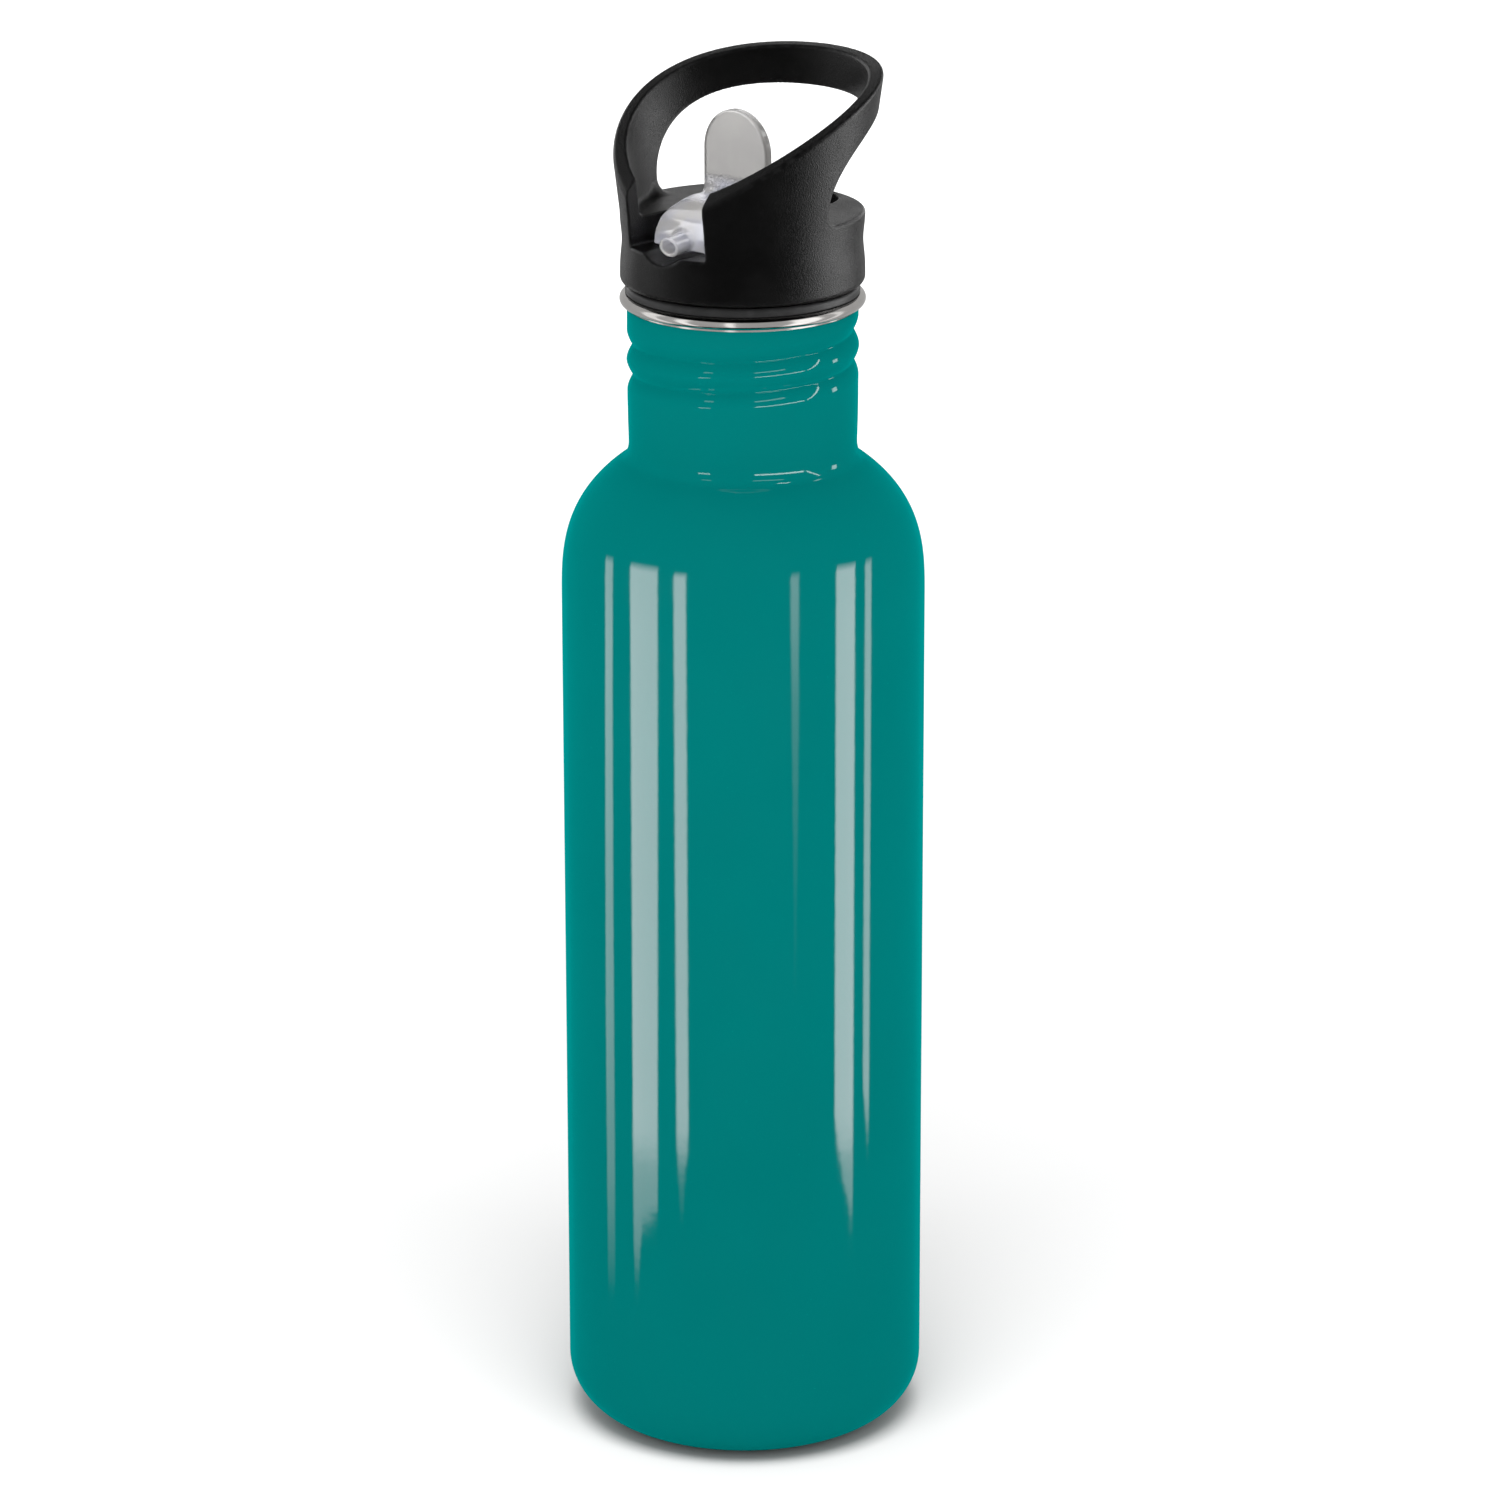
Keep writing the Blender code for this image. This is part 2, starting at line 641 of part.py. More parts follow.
def thumb_tab():
    """An upright plate with a round top."""
    centre = (0.0, TAB_TOP - TAB_HALF)
    outline = [(-TAB_HALF, TAB_ROOT), (TAB_HALF, TAB_ROOT)] + arc(centre, TAB_HALF, 0, 180, 14)
    return prism(outline, TAB_FRONT, TAB_FRONT + TAB_THICKNESS, "Y")


def tab_fillet():
    """The web that strengthens the tab's front root."""
    roof = COWL_CURVE[-1][1] * MM
    back = TAB_FRONT + TAB_THICKNESS / 2
    outline = [(TAB_FRONT - TAB_FILLET, roof - MM / 2), (TAB_FRONT, roof + TAB_FILLET), (back, roof), (back, roof - MM)]
    return prism(outline, -COWL_HALF, COWL_HALF, "X")


def add_spout(material):
    """Barrel, trunnions, mouth tube, cowl and thumb tab as one clear moulding, bored through."""
    pivot = (0.0, PIVOT_Z)
    spout = add_object("spout", prism(circle(pivot, BARREL_RADIUS, 28), -BARREL_HALF, BARREL_HALF, "X"), material)
    tube = [(TUBE_ROOT_RADIUS, TUBE_ROOT_REACH), (MOUTH_RADIUS, MOUTH_REACH)]
    combine(spout, cowl(), "UNION")
    pieces = (
        prism(circle(pivot, TRUNNION_RADIUS), -TRUNNION_HALF, TRUNNION_HALF, "X"),
        along_tube(tube),
        thumb_tab(),
        tab_fillet(),
    )
    for piece in pieces:
        combine(spout, add_object("piece", piece), "UNION")
    bore = [(BORE_RADIUS, -2 * BARREL_RADIUS), (BORE_RADIUS, MOUTH_REACH + MM)]
    combine(spout, add_object("cutter", along_tube(bore)), "DIFFERENCE")
    set_origin(spout, (0.0, 0.0, PIVOT_Z))
    return spout


def add_axis(name, height):
    """An empty on the bottle's axis that carries the pieces which move together."""
    empty = bpy.data.objects.new(name, None)
    empty.empty_display_size = 10 * MM
    bpy.context.scene.collection.objects.link(empty)
    empty.location = (0.0, 0.0, height)
    return empty


def carry(parent, children):
    """Parent the children without moving them."""
    bpy.context.view_layer.update()
    for child in children:
        child.parent = parent
        child.matrix_parent_inverse = parent.matrix_world.inverted()


def main():
    clear_scene()
    paint = principled("teal_paint", (0.0, 0.216, 0.195), 0.12)
    steel = principled("steel", (0.62, 0.62, 0.61), 0.28, metallic=1.0)
    moulding = principled("black_plastic", (0.012, 0.012, 0.013), 0.42)
    rubber = principled("black_rubber", (0.015, 0.015, 0.016), 0.55)
    clear = principled("clear_plastic", (0.86, 0.88, 0.9), 0.06, transmission=1.0)
    silicone = principled("silicone", (0.75, 0.76, 0.76), 0.45)

    add_bottle_shell(paint)
    add_base_pan(steel)
    gasket = add_neck_gasket(rubber)
    lid_pieces = [
        add_lid_cap(moulding),
        add_threaded_insert(moulding),
        add_straw(clear),
        add_spout_seal(silicone),
        add_vent_valve(silicone),
    ]
    spout = add_spout(clear)

    rise = add_axis("lid_rise_axis", SKIRT_LOW)
    turn = add_axis("lid_turn_axis", SKIRT_LOW)
    carry(rise, [gasket, turn])
    carry(turn, lid_pieces + [spout])


main()
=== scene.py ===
"""Looks for the steel sports bottle: fine meshes, node materials, floor, light and camera.

Lengths are in millimetres inside the shape code and become metres when a mesh is made. The frame is the CAD's
own: +Z up, origin on the bottle's axis in the plane it stands on, spout mouth facing -Y.
"""

import math

import bpy
import numpy as np
from mathutils import Matrix, Vector


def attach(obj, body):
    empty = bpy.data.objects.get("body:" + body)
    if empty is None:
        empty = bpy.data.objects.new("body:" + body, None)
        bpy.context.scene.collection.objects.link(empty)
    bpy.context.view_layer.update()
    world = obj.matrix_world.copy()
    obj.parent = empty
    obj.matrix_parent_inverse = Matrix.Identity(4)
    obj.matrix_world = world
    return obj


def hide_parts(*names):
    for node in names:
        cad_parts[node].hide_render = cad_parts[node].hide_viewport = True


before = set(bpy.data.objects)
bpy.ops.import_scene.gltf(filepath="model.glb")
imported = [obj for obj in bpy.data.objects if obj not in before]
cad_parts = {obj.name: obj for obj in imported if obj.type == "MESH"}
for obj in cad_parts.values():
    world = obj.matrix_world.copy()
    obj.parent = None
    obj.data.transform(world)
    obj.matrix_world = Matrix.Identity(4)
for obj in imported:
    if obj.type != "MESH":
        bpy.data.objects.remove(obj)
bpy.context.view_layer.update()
MM = 0.001

# ---------------------------------------------------------------- sizes of the bottle, in millimetres
BODY_RADIUS = 36.5
BASE_CORNER = 12.0
FOOT_EDGE = ((21.4, 1.3), (21.5, 0.75), (21.75, 0.25), (22.2, 0.0))
SHOULDER_START, SHOULDER_HEIGHT, SHOULDER_CENTRE = 175.5, 33.5, 13.9
SHOULDER_POWER_R, SHOULDER_POWER_Z = 1.2, 3.0
SHOULDER_END, CORNER_RISE = 24.3, 2.6
NECK_HEIGHTS, NECK_RADII = (208.3, 212.0, 217.0), (22.82, 22.92, 23.0)
NECK_END = 235.6
PAINT_STEP, LINER_GAP, SHEET = 0.16, 0.02, 0.5
SEAM_RADIUS = 26.0
PAINT_SEGMENTS, PAINT_ROW = 288, 0.28
LINER_SEGMENTS, LINER_ROW = 256, 0.7

# the rolled thread: the shape of its groove, and the heights where it fades in and out
THREAD_PITCH, GROOVE_DEPTH, GROOVE_SOFTNESS, GROOVE_POWER = 6.1, 1.3, 0.02, 1.6
GROOVE_ANGLE, GROOVE_HEIGHT = math.radians(43), 224.3
GROOVE_STARTS, GROOVE_ENDS = (218.5, 221.0), (231.0, 233.2)
RIDGE_SWELL, SWELL_HEIGHT, SWELL_WIDTH = 0.15, 225.8, 3.6

# the lip bead: radius and height of its middle, half its width and half its height
BEAD = (23.3, 236.83, 1.15, 1.17)

# ---------------------------------------------------------------- sizes of the lid
DECK = 254.7
SKIRT_LOW, SKIRT_RADIUS = 240.1, 24.3
WAIST_DEPTH, WAIST_HEIGHT, WAIST_WIDTH = 0.42, 248.9, 3.3
FLARE_HEIGHT, FLARE, FLARE_CURVE, FLARE_SLOPE = 27.0, 3.0, 0.5, 0.993
HANDLE_WALL = 3.0
HANDLE_TOP = ((-24.5, 255.3), (-23.7, 263.2), (-0.7, 281.2), (32.0, 283.8))
HANDLE_LOW = ((-1.4, 258.0), (-1.3, 265.2), (7.8, 275.5), (30.0, 275.6))
FILLET_FRONT, FILLET_GROWTH, FILLET_PLACE = 0.9, 2.1, (-6.0, -2.5)
SLOT_HALF, SLOT_EDGE, BEVEL = 9.95, 0.6, 0.3
NOTCH_FLOOR, DIP_FLOOR, DIP_RADIUS = 249.0, 247.25, 7.0
POCKET_FLOOR, POCKET_CENTRE = 251.3, 13.4
PIVOT_Z = 251.6
TROUGH_RADIUS, TROUGH_HALF = 6.1, 9.9
PIN_HOLE_RADIUS, PIN_HOLE_HALF = 2.45, 13.3
RING_HOLLOW_RADIUS, RING_HOLLOW_TOP = 22.2, 243.9
SIDE_HOLLOW_X, SIDE_HOLLOW_RADIUS, SIDE_HOLLOW_TOP = 11.7, 21.9, 252.9
BACK_HOLLOW_X, BACK_HOLLOW_Y, BACK_HOLLOW_RADIUS, BACK_HOLLOW_TOP = 12.0, 8.2, 21.6, 249.7
SEAT_RADIUS = 5.0

# the parts under the lid: the insert's thread and core, the vent
INSERT_RIDGE, INSERT_CORE, INSERT_THREAD, INSERT_FADE = 226.9, 20.6, 1.3, 1.5
INSERT_THREAD_ENDS = (220.5, 229.6)
VENT_Y, VENT_RADIUS = 13.0, 1.3

# ---------------------------------------------------------------- sizes of the spout
TAB_FRONT, TAB_THICKNESS, TAB_HALF, TAB_TOP, TAB_FOOT = -2.4, 2.1, 8.4, 274.75, 255.0
MOUTH, MOUTH_RISE = (-21.3, 250.35), 1.0
MOUTH_HALF, ROOT_GROWTH, BORE_HALF = (2.5, 1.95), (1.3, 0.5), (1.75, 1.35)
TUBE_SLOPE = 0.93
BARREL_RADIUS, BARREL_HALF = 5.6, 8.1
PIN_RADIUS, PIN_HALF = 2.2, 11.4
COWL_HALF, COWL_SHEET, COWL_LOW, COWL_BACK = 7.9, 1.3, 249.4, -2.0
COWL_CURVE = (
    (-17.5, 249.3),
    (-17.1, 252.0),
    (-15.5, 254.5),
    (-13.2, 255.8),
    (-10.0, 256.8),
    (-6.8, 257.4),
    (-3.3, 257.5),
)

# ---------------------------------------------------------------- camera
AZIMUTH = math.radians(43)
CAMERA_DISTANCE, CAMERA_HEIGHT = 1.2018, 0.5256
CAMERA_TILT = math.radians(17.68)
CAMERA_ROLL = math.radians(-0.11)
FOCAL = 149.3136
SHIFT_X = 0.0043
TOWARDS = Vector((math.sin(AZIMUTH), -math.cos(AZIMUTH), 0))
RIGHT = Vector((math.cos(AZIMUTH), math.sin(AZIMUTH), 0))
EYE = TOWARDS * CAMERA_DISTANCE + Vector((0, 0, CAMERA_HEIGHT))


def make_camera():
    data = bpy.data.cameras.new("camera")
    data.sensor_width = 36
    data.lens = FOCAL
    data.shift_x = SHIFT_X
    data.clip_start, data.clip_end = 0.05, 60
    camera = bpy.data.objects.new("camera", data)
    camera.location = EYE
    turn = Matrix.Rotation(AZIMUTH, 3, "Z") @ Matrix.Rotation(math.pi / 2 - CAMERA_TILT, 3, "X")
    camera.rotation_euler = (turn @ Matrix.Rotation(CAMERA_ROLL, 3, "Z")).to_euler()
    bpy.context.scene.collection.objects.link(camera)
    bpy.context.scene.camera = camera


# ---------------------------------------------------------------- mesh helpers
def add_mesh(name, points, faces, material, smooth_angle=40, normals=None, marks=None):
    """An object from points in millimetres.

    normals, one per point, replace the computed shading normals, and marks are named values, one per point.
    """
    mesh = bpy.data.meshes.new(name)
    mesh.from_pydata((np.asarray(points, float) * MM).tolist(), [], [list(f) for f in faces])
    mesh.validate()
    mesh.update()
    mesh.shade_smooth()
    if normals is not None:
        mesh.normals_split_custom_set_from_vertices(normals.tolist())
    elif smooth_angle < 180:
        mesh.set_sharp_from_angle(angle=math.radians(smooth_angle))
    for key, values in (marks or {}).items():
        mesh.attributes.new(key, "FLOAT", "POINT").data.foreach_set("value", np.asarray(values, np.float32))
    if material:
        mesh.materials.append(material)
    item = bpy.data.objects.new(name, mesh)
    bpy.context.scene.collection.objects.link(item)
    return item


def ring_faces(low, high, segments):
    """Quads between two rings of points, given the number of each ring."""
    around = np.arange(segments)
    after = (around + 1) % segments
    low, high = low * segments, high * segments
    return np.stack([low + around, low + after, high + after, high + around], 1)


def turned(name, rows, segments, material, wrap=True, smooth_angle=40):
    """Turn rows of (radius, z) about Z; a radius may be a function of the angle.

    wrap joins the last row to the first. Without it both ends are closed with a flat face.
    """
    angles = np.arange(segments) * 2 * math.pi / segments
    points = []
    for radius, z in rows:
        radii = radius(angles) if callable(radius) else np.full(segments, float(radius))
        heights = np.full(segments, float(z))
        points.append(np.stack([radii * np.cos(angles), radii * np.sin(angles), heights], 1))
    points = np.concatenate(points)
    count = len(rows)
    bands = range(count if wrap else count - 1)
    faces = np.concatenate([ring_faces(low, (low + 1) % count, segments) for low in bands]).tolist()
    if not wrap:
        faces.append(list(reversed(range(segments))))
        faces.append(list(range((count - 1) * segments, count * segments)))
    return add_mesh(name, points, faces, material, smooth_angle)


def arc(centre, radius, first, last, steps):
    """Points on an arc, with its first and last angle in degrees."""
    turn = np.radians(np.linspace(first, last, steps + 1))
    return [(centre[0] + radius * math.cos(t), centre[1] + radius * math.sin(t)) for t in turn]


def bezier(curve, steps):
    """Points along a cubic curve with four control points."""
    t = np.linspace(0, 1, steps + 1)[:, None]
    a, b, c, d = (np.asarray(p, float) for p in curve)
    return (1 - t) ** 3 * a + 3 * (1 - t) ** 2 * t * b + 3 * (1 - t) * t**2 * c + t**3 * d


def offset_inwards(points, distance):
    """Shift an open (radius, z) outline that runs upwards on the outside to its inner side."""
    points = np.asarray(points, float)
    along = np.gradient(points, axis=0)
    along /= np.linalg.norm(along, axis=1)[:, None]
    return [tuple(p) for p in points + distance * np.stack([-along[:, 1], along[:, 0]], 1)]


# ---------------------------------------------------------------- shapes as distance fields
def both(a, b, radius=0.0):
    """The part inside both fields, with its edge rounded."""
    corner = np.hypot(np.maximum(a + radius, 0), np.maximum(b + radius, 0))
    return np.minimum(-radius, np.maximum(a, b)) + corner


def either(a, b, radius=0.0):
    """The part inside either field, with its inner corner filled."""
    return -both(-a, -b, radius)


def without(a, b, radius=0.0):
    """The first field less the second."""
    return both(a, -b, radius)


def between(v, low, high):
    """The slab between two values."""
    return np.maximum(low - v, v - high)


class SideCurve:
    """Signed distance to a curve in the side view (y, z), positive above it, read from a fine table."""

    def __init__(self, points, low=(-32.0, 236.0), high=(36.0, 290.0), step=0.2):
        self.low, self.step = np.array(low), step
        ys = np.arange(low[0], high[0] + step, step)
        zs = np.arange(low[1], high[1] + step, step)
        y, z = (v.ravel() for v in np.meshgrid(ys, zs, indexing="ij"))
        a, b = points[:-1], points[1:]
        d = b - a
        best = np.full(len(y), 1e9)
        for i in range(len(a)):
            t = np.clip(((y - a[i, 0]) * d[i, 0] + (z - a[i, 1]) * d[i, 1]) / (d[i] @ d[i]), 0, 1)
            best = np.minimum(best, (y - a[i, 0] - t * d[i, 0]) ** 2 + (z - a[i, 1] - t * d[i, 1]) ** 2)
        above = z > np.interp(y, points[:, 0], points[:, 1])
        self.table = (np.where(above, 1, -1) * np.sqrt(best)).reshape(len(ys), len(zs))

    def __call__(self, y, z):
        u = np.clip((y - self.low[0]) / self.step, 0, self.table.shape[0] - 1.001)
        v = np.clip((z - self.low[1]) / self.step, 0, self.table.shape[1] - 1.001)
        i, j = u.astype(int), v.astype(int)
        u, v = u - i, v - j
        t = self.table
        lower = t[i, j] * (1 - u) + t[i + 1, j] * u
        upper = t[i, j + 1] * (1 - u) + t[i + 1, j + 1] * u
        return lower * (1 - v) + upper * v


def with_ends(points, reach):
    """Lengthen a side-view curve straight on at both ends."""
    start, end = points[1] - points[0], points[-1] - points[-2]
    first = points[0] - start / np.linalg.norm(start) * reach[0]
    last = points[-1] + end / np.linalg.norm(end) * reach[1]
    return np.concatenate([[first], points, [last]])


def corners_apart(a, b):
    return sum(abs(p - q) for p, q in zip(CORNERS[a], CORNERS[b]))


CORNERS = [(i, j, k) for i in (0, 1) for j in (0, 1) for k in (0, 1)]
EDGES = [(a, b) for a in range(8) for b in range(a + 1, 8) if corners_apart(a, b) == 1]


def slope_of(field, points, reach=0.04):
    """The field's gradient, by central differences."""
    out = np.empty_like(points)
    for axis in range(3):
        ahead, behind = points.copy(), points.copy()
        ahead[:, axis] += reach
        behind[:, axis] -= reach
        out[:, axis] = (field(*ahead.T) - field(*behind.T)) / (2 * reach)
    return out


def sample(field, low, high, step, block, batch=400):
    """The field on a grid. Blocks far from the surface take the value at their centre."""
    blocks = np.ceil((high - low) / (step * block)).astype(int)
    grid = np.empty(blocks * block, np.float32)
    centres = np.stack(np.meshgrid(*[np.arange(n) for n in blocks], indexing="ij"), -1).reshape(-1, 3)
    at_centre = field(*(low + (centres + 0.5) * step * block).T)
    half_diagonal = step * block * math.sqrt(3) / 2
    chosen = centres[np.abs(at_centre) < 1.5 * half_diagonal + step]
    view = grid.reshape(blocks[0], block, blocks[1], block, blocks[2], block)
    view[...] = at_centre.reshape(blocks)[:, None, :, None, :, None]
    inside_block = np.stack(np.meshgrid(*[np.arange(block)] * 3, indexing="ij"), -1).reshape(-1, 3)
    for start in range(0, len(chosen), batch):
        part = chosen[start : start + batch]
        index = (part[:, None] * block + inside_block[None]).reshape(-1, 3)
        grid[tuple(index.T)] = field(*(low + index * step).T)
    return grid


def surface(field, low, high, step, block=8):
    """Points and quads of the surface where the field is zero, with every point moved onto that surface."""
    low, high = np.array(low, float), np.array(high, float)
    grid = sample(field, low, high, step, block)

    # one point in each cell that the surface crosses, at the mean of the crossings on its edges
    inside = grid < 0
    cells = tuple(n - 1 for n in grid.shape)
    filled = np.zeros(cells, np.int8)
    for i, j, k in CORNERS:
        filled += inside[i : i + cells[0], j : j + cells[1], k : k + cells[2]]
    mixed = (filled > 0) & (filled < 8)
    at = np.argwhere(mixed)
    ids = np.full(cells, -1)
    ids[mixed] = np.arange(len(at))
    values = np.stack([grid[tuple((at + c).T)] for c in CORNERS], 1).astype(float)
    total, hits = np.zeros((len(at), 3)), np.zeros(len(at))
    for a, b in EDGES:
        cross = (values[:, a] < 0) != (values[:, b] < 0)
        t = values[cross, a] / (values[cross, a] - values[cross, b])
        ca, cb = np.array(CORNERS[a], float), np.array(CORNERS[b], float)
        total[cross] += ca + t[:, None] * (cb - ca)
        hits[cross] += 1
    points = low + (at + total / hits[:, None]) * step
    for _ in range(4):
        slope = slope_of(field, points)
        move = field(*points.T)[:, None] * slope / np.maximum((slope**2).sum(1), 0.25)[:, None]
        points -= np.clip(move, -0.4 * step, 0.4 * step)

    # a quad round each grid edge whose two ends lie on different sides
    faces = []
    for axis in range(3):
        here, ahead = [slice(1, -1)] * 3, [slice(1, -1)] * 3
        here[axis], ahead[axis] = slice(0, -1), slice(1, None)
        where = np.argwhere(inside[tuple(here)] != inside[tuple(ahead)])
        where += [0 if k == axis else 1 for k in range(3)]
        u, v = [(1, 2), (2, 0), (0, 1)][axis]
        du, dv = np.eye(3, dtype=int)[u], np.eye(3, dtype=int)[v]
        quad = np.stack([ids[tuple((where - s).T)] for s in (du + dv, dv, 0 * du, du)], 1)
        out = inside[tuple(where.T)]
        faces.append(np.where(out[:, None], quad, quad[:, ::-1]))
    return points, np.concatenate(faces)


def field_mesh(name, field, low, high, step, material):
    """A piece from a distance field. Its edge mark is 1 on tight outer edges, for the painted edge highlight
    in its look.
    """
    points, faces = surface(field, low, high, step)
    normals = slope_of(field, points)
    normals /= np.linalg.norm(normals, axis=1)[:, None]
    probe = 0.25
    bend = field(*(points + normals * probe).T) + field(*(points - normals * probe).T)
    spread = np.zeros(len(points))
    for axis in range(3):
        shift = np.zeros(3)
        shift[axis] = probe
        spread += field(*(points + shift).T) + field(*(points - shift).T)
    edge = np.clip((spread - bend) / probe**2 * 0.6, -1, 1)
    return add_mesh(name, points, faces, material, normals=normals, marks={"edge": edge})


# ---------------------------------------------------------------- bottle
def smooth(value, low, high):
    """A soft step from 0 at low to 1 at high."""
    share = np.clip((value - low) / (high - low), 0, 1)
    return share * share * (3 - 2 * share)


def neck_radius(z, angle):
    """Radius of the neck with its rolled helical groove: broad round ridges between narrow valleys."""
    swell = RIDGE_SWELL * np.exp(-(((z - SWELL_HEIGHT) / SWELL_WIDTH) ** 2))
    radius = np.interp(z, NECK_HEIGHTS, NECK_RADII) + swell
    for turn in range(-3, 4):
        groove = GROOVE_HEIGHT + THREAD_PITCH * ((angle - GROOVE_ANGLE) / (2 * math.pi) + turn)
        share = smooth(groove, *GROOVE_STARTS) * (1 - smooth(groove, *GROOVE_ENDS))
        reach = np.sqrt((z - groove) ** 2 + GROOVE_SOFTNESS) / (THREAD_PITCH / 2)
        radius = radius - GROOVE_DEPTH * share * np.clip(1 - reach, 0, 1) ** GROOVE_POWER
    return radius


def shoulder(z):
    """Radius and slope of the body's outline at a height on the shoulder."""
    share = max(0.0, (z - SHOULDER_START) / SHOULDER_HEIGHT)
    power, width = 1 / SHOULDER_POWER_R, BODY_RADIUS - SHOULDER_CENTRE
    rest = 1 - share**SHOULDER_POWER_Z
    slope = -width * power * rest ** (power - 1) * SHOULDER_POWER_Z
    slope *= share ** (SHOULDER_POWER_Z - 1) / SHOULDER_HEIGHT
    return SHOULDER_CENTRE + width * rest**power, slope


def body_outline():
    """Outer outline of the painted body from the foot ring to the plain neck."""
    points = list(FOOT_EDGE)
    points += arc((BODY_RADIUS - BASE_CORNER, BASE_CORNER), BASE_CORNER, -90, 0, 24)
    points += [(BODY_RADIUS, z) for z in np.linspace(BASE_CORNER, SHOULDER_START, 12)[1:-1]]
    width = BODY_RADIUS - SHOULDER_CENTRE
    turn = np.linspace(0, 1, 400) ** 1.6 * math.pi / 2  # closer together where the curve starts
    radius = SHOULDER_CENTRE + width * np.cos(turn) ** (2 / SHOULDER_POWER_R)
    z = SHOULDER_START + SHOULDER_HEIGHT * np.sin(turn) ** (2 / SHOULDER_POWER_Z)
    dome = np.stack([radius, z], 1)
    dome = dome[dome[:, 0] > SHOULDER_END]
    slope = dome[-1] - dome[-2]
    corner = dome[-1] + slope * (NECK_RADII[0] - dome[-1][0]) / slope[0]
    top = np.array([NECK_RADII[0], corner[1] + CORNER_RISE])
    run = np.concatenate([[0], np.cumsum(np.linalg.norm(np.diff(dome, axis=0), axis=1))])
    even = np.linspace(0, run[-1], 76)
    points += list(zip(np.interp(even, run, dome[:, 0]), np.interp(even, run, dome[:, 1])))
    for t in np.linspace(0, 1, 15)[1:]:
        points.append(tuple((1 - t) ** 2 * dome[-1] + 2 * (1 - t) * t * corner + t * t * top))
    return [(float(a), float(b)) for a, b in points]


def wall_rows(inset, segments, step):
    """The painted wall as a grid of points, rows by columns, with its outward normals."""
    angles = np.arange(segments) * 2 * math.pi / segments
    outline = offset_inwards(body_outline(), inset) if inset else body_outline()
    rows = [(np.full(segments, r), z) for r, z in outline]
    neck = np.arange(outline[-1][1] + 0.5, NECK_END - 0.2, step)
    rows += [(neck_radius(z, angles) - inset, z) for z in neck]
    radii = np.array([r for r, z in rows])
    heights = np.array([z for r, z in rows])[:, None] + 0 * radii
    grid = np.stack([radii * np.cos(angles), radii * np.sin(angles), heights], -1)
    around = np.roll(grid, -1, 1) - np.roll(grid, 1, 1)
    normals = np.cross(around, np.gradient(grid, axis=0))
    return grid, normals / np.linalg.norm(normals, axis=-1)[..., None]


def layer(name, outer, inner, material):
    """A closed thin layer between two grids of the same shape, each a pair of points and normals."""
    rows, segments = outer[0].shape[:2]
    points = np.concatenate([outer[0], inner[0][::-1]]).reshape(-1, 3)
    normals = np.concatenate([outer[1], -inner[1][::-1]]).reshape(-1, 3)
    faces = np.concatenate([ring_faces(low, (low + 1) % (2 * rows), segments) for low in range(2 * rows)])
    return add_mesh(name, points, faces.tolist(), material, normals=normals)


def bead_arc(first, last, steps):
    """Points round the oval lip bead, with the first and last angle in degrees."""
    turn = np.radians(np.linspace(first, last, steps + 1))
    r, z, half_width, half_height = BEAD
    return [(r + half_width * math.cos(t), z + half_height * math.sin(t)) for t in turn]


def add_bottle(paint, steel):
    """The paint in two layers, body and neck, with its edge under the bead, and the bare steel inside it."""
    outer = wall_rows(0.0, PAINT_SEGMENTS, PAINT_ROW)
    inner = wall_rows(PAINT_STEP, PAINT_SEGMENTS, PAINT_ROW)
    radii = np.hypot(outer[0][:, 0, 0], outer[0][:, 0, 1])
    seam = int(np.argmax((outer[0][:, 0, 2] > SHOULDER_START) & (radii < SEAM_RADIUS)))
    body = layer("body_paint", [v[: seam + 1] for v in outer], [v[: seam + 1] for v in inner], paint)
    neck = layer("neck_paint", [v[seam:] for v in outer], [v[seam:] for v in inner], paint)
    for item in (body, neck):
        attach(item, "bottle")
        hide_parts("bottle_shell")

    gap = PAINT_STEP + LINER_GAP
    outer = wall_rows(gap, LINER_SEGMENTS, LINER_ROW)
    inner = wall_rows(SHEET, LINER_SEGMENTS, LINER_ROW)
    angles = np.arange(LINER_SEGMENTS) * 2 * math.pi / LINER_SEGMENTS
    first, last = NECK_RADII[-1] - gap - 0.1, NECK_RADII[-1] - SHEET - 0.1
    bead = np.array([(first, NECK_END)] + bead_arc(-105, 150, 40) + [(last, NECK_END)])
    ring = [bead[:, :1] * np.cos(angles), bead[:, :1] * np.sin(angles), bead[:, 1:] + 0 * angles]
    points = np.concatenate([outer[0], np.stack(ring, -1), inner[0][::-1]])
    rows = len(points)
    faces = np.concatenate([ring_faces(low, (low + 1) % rows, LINER_SEGMENTS) for low in range(rows)])
    liner = add_mesh("lip_and_liner", points.reshape(-1, 3), faces.tolist(), steel, smooth_angle=60)
    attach(liner, "bottle")
    return body, neck, liner


def add_base_plate(steel):
    """The pressed pan: a weld rim, a step and a shallow dome."""
    outline = [(20.9, 1.1), (20.2, 1.12), (19.4, 1.25), (18.7, 1.75), (18.2, 1.95), (17.4, 2.02)]
    dome_start, dome_low, dome_rise, thickness = 17.0, 2.05, 0.75, 0.6
    for r in np.linspace(dome_start - 0.5, 0.4, 22):
        outline.append((r, dome_low + dome_rise * (1 - (r / dome_start) ** 2)))
    top = [(r, z + thickness) for r, z in outline]
    plate = turned("base_plate", list(reversed(outline)) + top, 160, steel, wrap=False)
    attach(plate, "bottle")
    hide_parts("base_pan")


